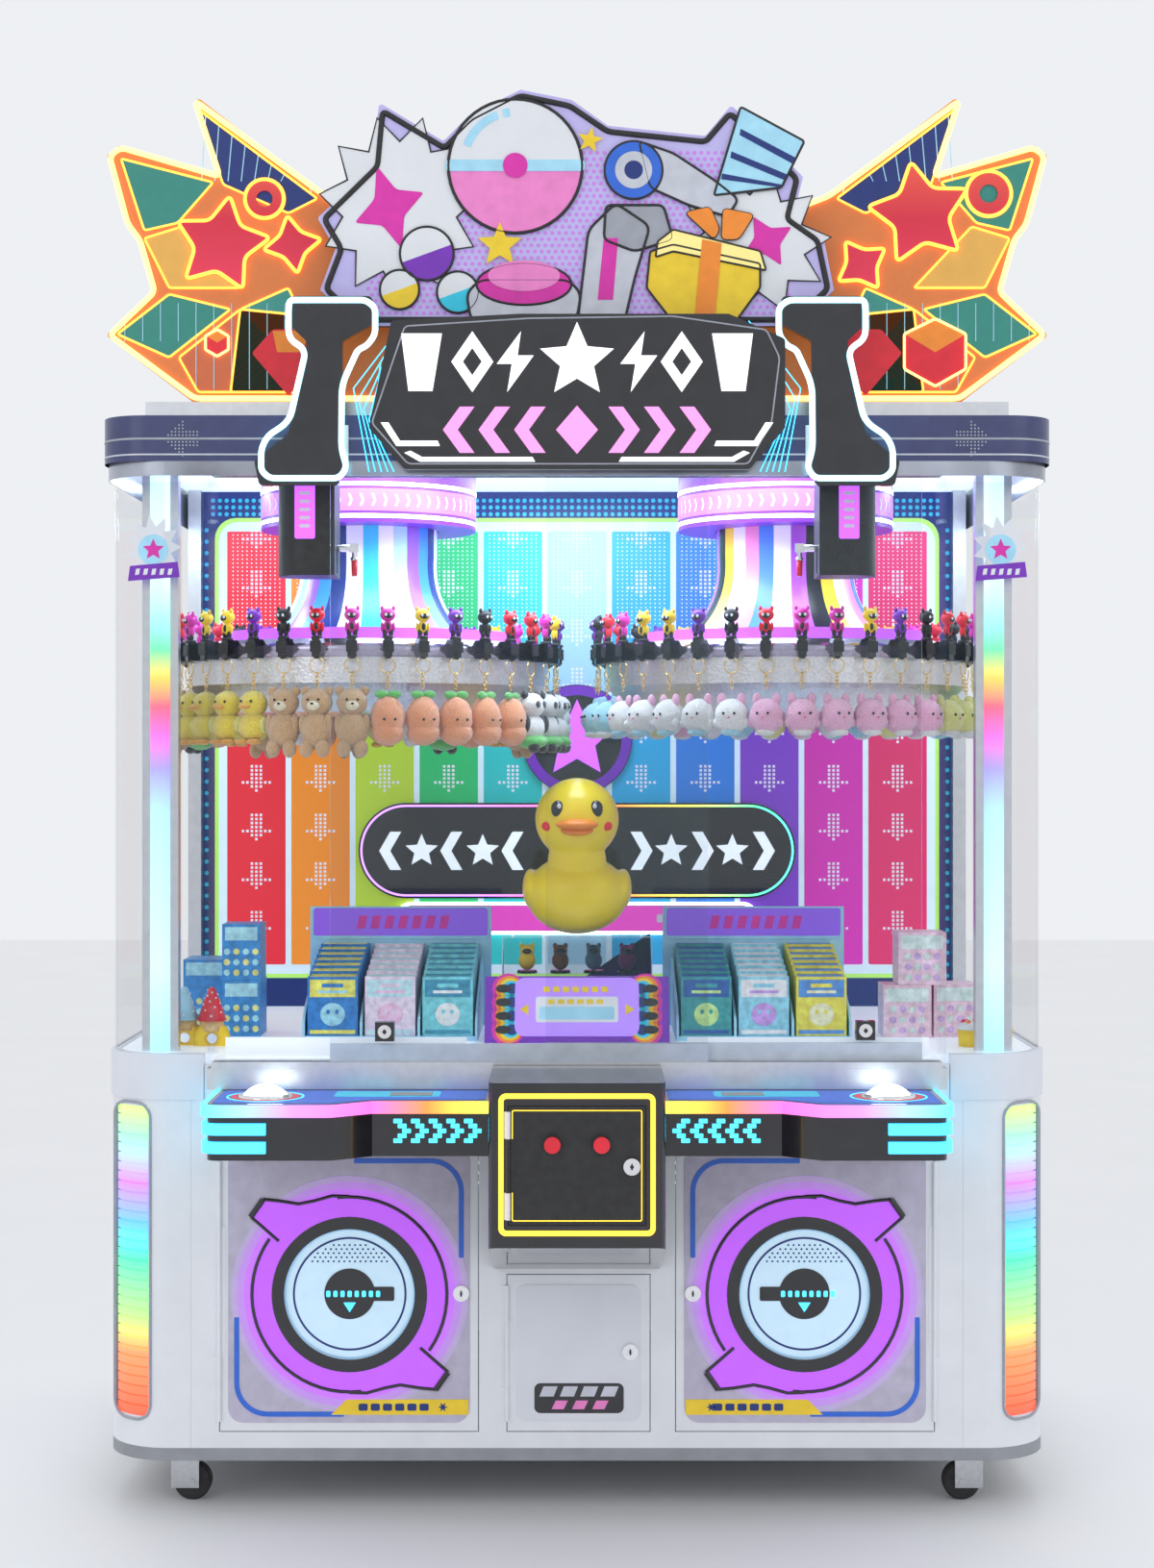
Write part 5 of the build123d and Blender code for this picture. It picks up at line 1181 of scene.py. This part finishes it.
# ---------------------------------------------------------------- small side treats
treats = Shape()
treat_mats = ["sky", "red", "yellow", "white", "pink", "orange", "brown_cone"]
M["brown_cone"] = surface("wafer", (0.72, 0.48, 0.20), 0.7, grain=90, depth=0.3)
for x, y, tone in ((-0.800, 0.175, 0), (-0.742, 0.160, 1)):
    base_y = FRONT + y
    treats.hoop((x, base_y, FLOOR + 0.0145), 0.024, 0.0140, 2, "Y", 28)
    treats.cone((x, base_y, FLOOR + 0.0300), (x, base_y, FLOOR + 0.052), 0.020, 0.026, 6, 24)
    treats.cone((x, base_y, FLOOR + 0.052), (x, base_y, FLOOR + 0.118), 0.030, 0.006, tone, 24)
    for k in range(26):
        t, h = k * 2.4, 0.006 + 0.0022 * k
        r = 0.030 - h * 0.36
        treats.ball((x + r * math.cos(t), base_y + r * math.sin(t), FLOOR + 0.052 + h), (0.0022, 0.0022, 0.0022), 3, (8, 6))
for x, y in ((0.800, 0.150), (0.862, 0.185)):
    base_y = FRONT + y
    treats.cone((x, base_y, FLOOR + 0.0003), (x, base_y, FLOOR + 0.034), 0.026, 0.028, 2, 24)
    treats.ball((x, base_y, FLOOR + 0.038), (0.028, 0.028, 0.014), 3, (24, 12))
    for k in range(6):
        t = k * 1.047
        treats.ball((x + 0.016 * math.cos(t), base_y + 0.016 * math.sin(t), FLOOR + 0.050), (0.005, 0.005, 0.005), (1, 5, 4)[k % 3], (10, 8))
treats.piece("side_treats", treat_mats, "cabinet")

# ---------------------------------------------------------------- corner glass stickers
for side, name in SIDES:
    x = side * 0.835
    front = FRONT + 0.0035
    plates(f"sticker_burst_{name}", [burst(x, 1.905, 0.056, 0.036, 11, 1.15)], front, 0.0005, "white")
    plates(f"sticker_ball_{name}", [circle(x, 1.900, 0.030)], front - 0.0005, 0.0005, "sky")
    plates(f"sticker_star_{name}", [burst(x, 1.900, 0.022, 0.010, 5, 1, 90)], front - 0.0010, 0.0005, "magenta")
    plates(f"sticker_ribbon_{name}", [[(x - 0.050, 1.838), (x - 0.046, 1.868), (x + 0.048, 1.876), (x + 0.052, 1.846)]], front - 0.0010, 0.0005, "purple")
    plates(f"sticker_marks_{name}", [[(x + k * 0.016 - 0.004, 1.850), (x + k * 0.016 - 0.002, 1.862), (x + k * 0.016 + 0.006, 1.863), (x + k * 0.016 + 0.004, 1.851)] for k in (-2, -1, 0, 1, 2)],
           front - 0.0014, 0.0004, "white")

# ---------------------------------------------------------------- marquee
WING = FRONT
CENTER = FRONT - 0.060
TITLE = FRONT - 0.150
HOOK = FRONT - 0.127
wing_rim = [(-0.752, 2.783), (-0.496, 2.596), (-0.322, 2.528), (-0.322, 2.197), (-0.752, 2.197), (-0.920, 2.322),
            (-0.831, 2.407), (-0.860, 2.509), (-0.884, 2.540), (-0.920, 2.674), (-0.898, 2.691), (-0.703, 2.634)]
wing_navy = [(-0.746, 2.767), (-0.511, 2.591), (-0.568, 2.562), (-0.697, 2.619)]
wing_teal = [(-0.898, 2.670), (-0.716, 2.623), (-0.786, 2.543), (-0.852, 2.528)]
wing_green = [(-0.905, 2.324), (-0.803, 2.403), (-0.682, 2.373), (-0.803, 2.278)]
wing_gold = [(-0.852, 2.513), (-0.777, 2.536), (-0.663, 2.415), (-0.803, 2.415)]
wing_orange = [(-0.784, 2.278), (-0.663, 2.373), (-0.511, 2.358), (-0.511, 2.210), (-0.746, 2.210)]
wing_low = [(-0.663, 2.373), (-0.568, 2.415), (-0.474, 2.210), (-0.682, 2.210)]
gem = [(-0.640, 2.286), (-0.599, 2.333), (-0.527, 2.333), (-0.492, 2.286), (-0.568, 2.202)]
cube_right = [(0.705, 2.354), (0.765, 2.324), (0.765, 2.255), (0.705, 2.221), (0.644, 2.255), (0.644, 2.324)]
cube_left = [(-0.708, 2.333), (-0.686, 2.320), (-0.686, 2.293), (-0.708, 2.280), (-0.731, 2.293), (-0.731, 2.320)]
wear_faces("marquee_wings", [glow("wing_base", (0.80, 0.22, 0.04), 0.15, (0.62, 0.18, 0.05)), "matt_black"], lambda centre, normal: 0 if normal.y < -0.5 else 1)
wear_faces("marquee_center", ["lilac", "matt_black"], lambda centre, normal: 0 if normal.y < -0.5 else 1)
wear_faces("ceiling_panel", ["ceiling", "band"], lambda centre, normal: 1 if normal.z > 0.5 else 0)
wing_line = softened(wing_rim, 0.012)
tube("wing_neon", [wing_line] + flipped([wing_line]), WING - 0.004, 0.0055, "lit_warm")
for tag, shapes, mat, lift in (
    ("gold", [wing_gold], glow("w_gold", (0.72, 0.40, 0.08), 0.12), 1), ("navy", [wing_navy], "navy", 1),
    ("teal", [wing_teal, wing_green], glow("w_teal", (0.03, 0.24, 0.20), 0.10), 1),
    ("low", [wing_low], glow("w_green", (0.04, 0.28, 0.24), 0.10), 1),
    ("orange", [wing_orange], glow("w_orange", (0.60, 0.14, 0.05), 0.12), 1),
):
    shapes = [softened(s, 0.006) for s in shapes]
    plates(f"wing_{tag}", shapes + flipped(shapes), WING - 0.0008 * lift - 0.0004, 0.0008, mat)
    tube(f"wing_{tag}_line", shapes + flipped(shapes), WING - 0.0016, 0.0022, "lit_amber")
pins = []
for i in range(12):
    x = -0.890 + i * 0.035
    pins.append(rounded(x - 0.0008, x + 0.0008, 2.31 if i < 4 else 2.215, 2.36 if i < 2 else 2.385, 0.0004, 1))
for i in range(9):
    x = -0.74 + i * 0.026
    pins.append([(x, 2.625), (x + 0.002, 2.625), (x + 0.010, 2.755 - i * 0.019), (x + 0.008, 2.755 - i * 0.019)])
plates("wing_pins", pins + flipped(pins), WING - 0.0022, 0.0005, "sky")
red_shine = gradient("wing_red", ((0.0, (0.80, 0.04, 0.10)), (0.5, (0.62, 0.02, 0.05)), (1.0, (0.85, 0.12, 0.06))), "Z", 2.4, 2.7, 0.15)
left_shapes = [softened(burst(-0.700, 2.500, 0.098, 0.052, 5, 1, 80), 0.012), softened(burst(-0.560, 2.500, 0.058, 0.030, 4, 1, 10), 0.008)]
left_discs = ring(-0.615, 2.590, 0.016, 0.036)
right_shapes = [softened(burst(0.675, 2.560, 0.105, 0.056, 5, 1, 100), 0.012), softened(burst(0.560, 2.460, 0.056, 0.030, 4, 1, 35), 0.008)]
right_discs = ring(0.810, 2.600, 0.018, 0.042)
plates("wing_shapes", left_shapes + left_discs + right_shapes + right_discs, WING - 0.0060, 0.0040, red_shine)
tube("wing_shapes_line", left_shapes + right_shapes + [circle(-0.615, 2.590, 0.038), circle(0.810, 2.600, 0.044)],
     WING - 0.0045, 0.0040, "lit_amber")
gems = [softened(gem, 0.006), softened(cube_left, 0.003), softened(cube_right, 0.005), flipped([softened(gem, 0.006)])[0]]
plates("wing_gems", gems, WING - 0.0040, 0.0022, "red")
facets = [[(0.705, 2.288), (0.762, 2.322), (0.705, 2.351), (0.648, 2.322)], [(-0.708, 2.307), (-0.688, 2.319), (-0.708, 2.330), (-0.728, 2.319)],
          [(-0.599, 2.330), (-0.527, 2.330), (-0.540, 2.288), (-0.590, 2.288)]]
plates("wing_facets", facets, WING - 0.0044, 0.0006, "orange")
tube("wing_cube_line", [gems[1], gems[2]], WING - 0.0046, 0.0026, "lit_warm")

# Centre board: bursts, a capsule, a big push button, a gift box and a drill arm.
left_burst, right_burst = burst(-0.345, 2.560, 0.158, 0.112, 11, 1.15, 8), burst(0.345, 2.490, 0.150, 0.100, 10, 0.95, 5)
board_rim = softened([(-0.492, 2.538), (-0.458, 2.480), (-0.488, 2.402), (-0.424, 2.342), (0.424, 2.342), (0.488, 2.402), (0.468, 2.496),
                      (0.408, 2.538), (0.428, 2.616), (0.298, 2.744), (0.250, 2.688), (0.060, 2.708), (-0.014, 2.758), (-0.110, 2.778),
                      (-0.204, 2.730), (-0.258, 2.676), (-0.378, 2.748), (-0.388, 2.640)], 0.010)
tube("board_rim", [board_rim], CENTER - 0.0010, 0.0058, "matt_black")
halftone = [(-0.46 + c * 0.0135 + (r % 2) * 0.0067, 2.355 + r * 0.0120) for c in range(68) for r in range(27)
            if abs(-0.46 + c * 0.0135) < 0.36 + 0.2 * (2.65 - 2.355 - r * 0.0120)]
dots("board_halftone", halftone, 0.0038, CENTER - 0.0010, glow("board_dots", (0.62, 0.22, 0.80), 0.1), shape=6)
plates("burst_white", [left_burst, right_burst], CENTER - 0.0020, 0.0019, "white")
plates("burst_shapes", [softened(burst(-0.365, 2.560, 0.072, 0.032, 4, 1.2, 20), 0.008), softened(burst(0.370, 2.495, 0.055, 0.026, 4, 1.0, 30), 0.006)],
       CENTER - 0.0032, 0.0012, "magenta")
tube("burst_line", [left_burst, right_burst], CENTER - 0.0020, 0.0022, "matt_black")
plates("capsule_top", [sector(-0.120, 2.640, 0.0, 0.130, 0, 180, 32)], CENTER - 0.0060, 0.0040, "white")
plates("capsule_low", [sector(-0.120, 2.640, 0.0, 0.130, 180, 180, 32)], CENTER - 0.0060, 0.0040, "pink")
plates("capsule_band", [rounded(-0.255, 0.015, 2.630, 2.652, 0.008)], CENTER - 0.0075, 0.0015, "sky")
plates("capsule_latch", [circle(-0.120, 2.641, 0.024)], CENTER - 0.0090, 0.0015, "magenta")
plates("capsule_shine", [sector(-0.120, 2.645, 0.092, 0.108, 110, 50, 12), sector(-0.120, 2.645, 0.092, 0.108, 96, 8, 4)], CENTER - 0.0070, 0.0010, "sky")
tube("capsule_line", [circle(-0.120, 2.640, 0.130)], CENTER - 0.0050, 0.0034, "matt_black")
small = ((-0.292, 2.470, 0.052, "violet"), (-0.232, 2.395, 0.040, "cyan"), (-0.345, 2.400, 0.038, "yellow"))
for i, (x, z, r, tone) in enumerate(small):
    plates(f"ball_top_{i}", [sector(x, z, 0.0, r, 20, 180, 24)], CENTER - 0.0060, 0.0040, "white")
    plates(f"ball_low_{i}", [sector(x, z, 0.0, r, 200, 180, 24)], CENTER - 0.0060, 0.0040, "purple" if tone == "violet" else tone)
    tube(f"ball_line_{i}", [circle(x, z, r)], CENTER - 0.0050, 0.0026, "matt_black")
base = [(-0.205, 2.335), (-0.215, 2.392), (-0.190, 2.418), (-0.016, 2.418), (0.008, 2.392), (-0.002, 2.335)]
plates("push_base", [softened(base, 0.02)], CENTER - 0.0072, 0.0050, "silver")
dome = [(-0.103 + 0.092 * math.cos(math.radians(a)), 2.410 + 0.040 * math.sin(math.radians(a))) for a in range(0, 360, 10)]
cap = [(-0.103 + 0.070 * math.cos(math.radians(a)), 2.426 + 0.030 * math.sin(math.radians(a))) for a in range(0, 360, 10)]
plates("push_ring", [dome], CENTER - 0.0084, 0.0012, "magenta")
plates("push_cap", [cap], CENTER - 0.0096, 0.0012, "pink")
tube("push_line", [softened(base, 0.02), dome], CENTER - 0.0072, 0.0026, "matt_black")
plates("star_yellow", [burst(-0.150, 2.486, 0.045, 0.020, 5, 1, 90), burst(0.025, 2.690, 0.026, 0.011, 5, 1, 80)], CENTER - 0.0080, 0.0020, "yellow")
gift = softened([(0.142, 2.474), (0.187, 2.487), (0.356, 2.450), (0.356, 2.403), (0.299, 2.325), (0.187, 2.336), (0.135, 2.403)], 0.006)
lid = softened([(0.157, 2.493), (0.187, 2.516), (0.356, 2.474), (0.367, 2.437), (0.187, 2.474), (0.153, 2.463)], 0.004)
plates("gift_body", [gift], CENTER - 0.0070, 0.0045, "yellow")
plates("gift_lid", [lid], CENTER - 0.0085, 0.0015, glow("gift_lid", (1.0, 0.85, 0.30), 0.15))
ribbon = [(0.243, 2.497), (0.281, 2.489), (0.266, 2.328), (0.228, 2.331)]
bows = [softened([(0.266, 2.497), (0.210, 2.549), (0.258, 2.560), (0.277, 2.516)], 0.010),
        softened([(0.281, 2.497), (0.284, 2.557), (0.344, 2.545), (0.314, 2.497)], 0.010)]
plates("gift_ribbon", [ribbon] + bows, CENTER - 0.0098, 0.0014, "orange")
tube("gift_line", [gift, lid] + bows, CENTER - 0.0075, 0.0022, "matt_black")
arm = softened([(0.000, 2.328), (0.022, 2.516), (0.075, 2.568), (0.142, 2.523), (0.112, 2.422), (0.090, 2.328)], 0.016)
fore = softened([(0.120, 2.688), (0.187, 2.665), (0.266, 2.613), (0.314, 2.575), (0.292, 2.542), (0.217, 2.564), (0.142, 2.598)], 0.012)
cone = [(0.318, 2.755), (0.442, 2.688), (0.397, 2.598), (0.266, 2.583)]
foot = softened([(0.056, 2.564), (0.168, 2.564), (0.187, 2.497), (0.112, 2.474), (0.052, 2.497)], 0.012)
plates("arm_leg", [arm], CENTER - 0.0055, 0.0035, "silver")
plates("arm_foot", [foot], CENTER - 0.0062, 0.0030, "grey")
plates("arm_fore", [fore], CENTER - 0.0066, 0.0030, "silver")
plates("arm_joint", [circle(0.110, 2.632, 0.056)], CENTER - 0.0078, 0.0030, "blue")
plates("arm_joint_ring", [circle(0.110, 2.632, 0.036)], CENTER - 0.0086, 0.0020, "silver")
plates("arm_joint_hub", [circle(0.110, 2.632, 0.018)], CENTER - 0.0092, 0.0012, "navy")
plates("arm_cone", [softened(cone, 0.006)], CENTER - 0.0072, 0.0030, "sky")
bands = [[(0.318, 2.712), (0.426, 2.655), (0.421, 2.643), (0.316, 2.700)], [(0.300, 2.668), (0.411, 2.622), (0.406, 2.611), (0.298, 2.656)],
         [(0.282, 2.625), (0.400, 2.603), (0.396, 2.598), (0.280, 2.614)]]
plates("arm_cone_bands", bands, CENTER - 0.0080, 0.0010, "navy")
plates("arm_stripe", [[(0.040, 2.380), (0.052, 2.500), (0.080, 2.500), (0.070, 2.380)]], CENTER - 0.0064, 0.0010, "magenta")
tube("arm_line", [arm, fore, softened(cone, 0.006), foot, circle(0.110, 2.632, 0.056)], CENTER - 0.0062, 0.0026, "matt_black")

# Title board: slanted blocks and chevrons stand in for lettering.
white_lit = glow("title_white", (0.95, 0.97, 1.0), 0.7)
pink_lit = glow("title_pink", (0.95, 0.30, 0.75), 0.6)
bolt = [(0.010, 0.058), (-0.032, -0.004), (-0.006, -0.004), (-0.014, -0.058), (0.032, 0.012), (0.004, 0.012)]
signs = [burst(0.0, 2.248, 0.074, 0.034, 5, 1, 90)]
for side in (-1, 1):
    signs.append([(side * 0.118 + x * 1.1, 2.246 + z) for x, z in bolt])
    signs.append([(side * 0.200, 2.304), (side * 0.200 + 0.040, 2.246), (side * 0.200, 2.188), (side * 0.200 - 0.040, 2.246)])
    signs.append([(side * 0.258, 2.300), (side * 0.336, 2.300), (side * 0.322, 2.190), (side * 0.276, 2.190)])
plates("title_signs", signs, TITLE - 0.0022, 0.0021, white_lit)
plates("title_gems", [[(side * 0.200, 2.272), (side * 0.200 + 0.018, 2.246), (side * 0.200, 2.220), (side * 0.200 - 0.018, 2.246)] for side in (-1, 1)],
       TITLE - 0.0028, 0.0007, "black")
arrows = []
for i in range(3):
    for side in (-1, 1):
        x = side * (0.060 + i * 0.068)
        arrows.append([(x, 2.160), (x + side * 0.028, 2.160), (x + side * 0.060, 2.116), (x + side * 0.028, 2.072), (x, 2.072), (x + side * 0.032, 2.116)])
plates("title_arrows", arrows + [[(0, 2.162), (0.040, 2.116), (0, 2.070), (-0.040, 2.116)]], TITLE - 0.0022, 0.0021, pink_lit)
points = [[(-0.375, 2.130), (-0.345, 2.085), (-0.262, 2.085), (-0.266, 2.095), (-0.338, 2.095), (-0.360, 2.130)],
          [(-0.330, 2.072), (-0.300, 2.055), (-0.080, 2.055), (-0.085, 2.064), (-0.296, 2.064), (-0.318, 2.076)]]
plates("title_points", points + flipped(points), TITLE - 0.0022, 0.0021, white_lit)
title_line = softened([(-0.392, 2.129), (-0.329, 2.314), (-0.092, 2.329), (0.184, 2.333), (0.362, 2.307), (0.387, 2.254),
                       (0.372, 2.132), (0.327, 2.051), (-0.323, 2.051)], 0.008)
tube("title_edge", [title_line], TITLE - 0.0008, 0.0016, "grey")

hook = [(-0.554, 2.376), (-0.401, 2.376), (-0.382, 2.361), (-0.382, 2.306), (-0.399, 2.284), (-0.417, 2.276), (-0.449, 2.206),
        (-0.450, 2.077), (-0.439, 2.040), (-0.454, 2.018), (-0.594, 2.018), (-0.611, 2.033), (-0.611, 2.077), (-0.598, 2.103),
        (-0.554, 2.132), (-0.521, 2.276), (-0.556, 2.298), (-0.556, 2.357)]
centre = Vector((-0.495, 2.190))
neon = softened([tuple(centre + (Vector(p) - centre) * 0.955) for p in hook], 0.022, 5)
tube("hook_neon", [neon] + flipped([neon]), HOOK - 0.004, 0.0058, glow("hook_light", (0.45, 0.88, 1.0), 2.0))
lines = []
for k in range(5):
    lines.append([(-0.330 - k * 0.012, 2.330 - k * 0.02), (-0.430 + k * 0.010, 2.200 - k * 0.02), (-0.400 + k * 0.012, 2.040)])
tube("side_lines", lines + flipped(lines), FRONT - 0.118, 0.0012, "lit_cyan", cyclic=False)

# ---------------------------------------------------------------- camera, light and floor
scene = bpy.context.scene
camera_data = bpy.data.cameras.new("camera")
camera_data.sensor_width = 36.0
camera_data.lens = 58.27
camera_data.shift_y = -0.0126
camera = bpy.data.objects.new("camera", camera_data)
camera.location = (0.0, FRONT - 5.0, 1.477)
camera.rotation_euler = (math.radians(90), 0.0, 0.0)
scene.collection.objects.link(camera)
scene.camera = camera


def area_light(name, place, aim, size, power, colour=(1.0, 1.0, 1.0)):
    data = bpy.data.lights.new(name, "AREA")
    data.shape = "RECTANGLE"
    data.size, data.size_y = size
    data.energy = power
    data.color = colour
    lamp = bpy.data.objects.new(name, data)
    lamp.location = place
    lamp.rotation_euler = (Vector(aim) - Vector(place)).to_track_quat("-Z", "Y").to_euler()
    scene.collection.objects.link(lamp)
    return lamp


area_light("key", (-3.2, -4.6, 3.8), (0, 0, 1.2), (2.5, 2.5), 22)
area_light("fill", (3.4, -4.2, 3.0), (0, 0, 1.2), (3.0, 3.0), 14)
area_light("inside_front", (0.0, FRONT + 0.10, 2.09), (0, FRONT + 0.3, 1.0), (1.3, 0.20), 7, (0.80, 0.95, 1.0))
area_light("inside_middle", (0.0, FRONT + 0.45, 2.10), (0, FRONT + 0.45, 1.0), (0.30, 0.80), 4, (0.80, 0.95, 1.0))
area_light("inside_left", (-0.82, FRONT + 0.55, 2.10), (-0.5, FRONT + 0.55, 1.0), (0.12, 0.90), 5, (0.75, 0.93, 1.0))
area_light("inside_right", (0.82, FRONT + 0.55, 2.10), (0.5, FRONT + 0.55, 1.0), (0.12, 0.90), 5, (0.75, 0.93, 1.0))
world = bpy.data.worlds.new("studio")
world.use_nodes = True
world.node_tree.nodes["Background"].inputs["Color"].default_value = (0.95, 0.97, 1.0, 1.0)
world.node_tree.nodes["Background"].inputs["Strength"].default_value = 0.90
scene.world = world
scene.view_settings.view_transform = "Standard"
floor_mesh = bpy.data.meshes.new("studio_floor")
floor_mesh.from_pydata([(-14, -12, 0), (14, -12, 0), (14, 16, 0), (-14, 16, 0)], [], [(0, 1, 2, 3)])
floor_mesh.materials.append(surface("studio_floor", (0.90, 0.90, 0.91), 0.6, grain=2, depth=0.01))
floor = bpy.data.objects.new("studio_floor", floor_mesh)
scene.collection.objects.link(floor)
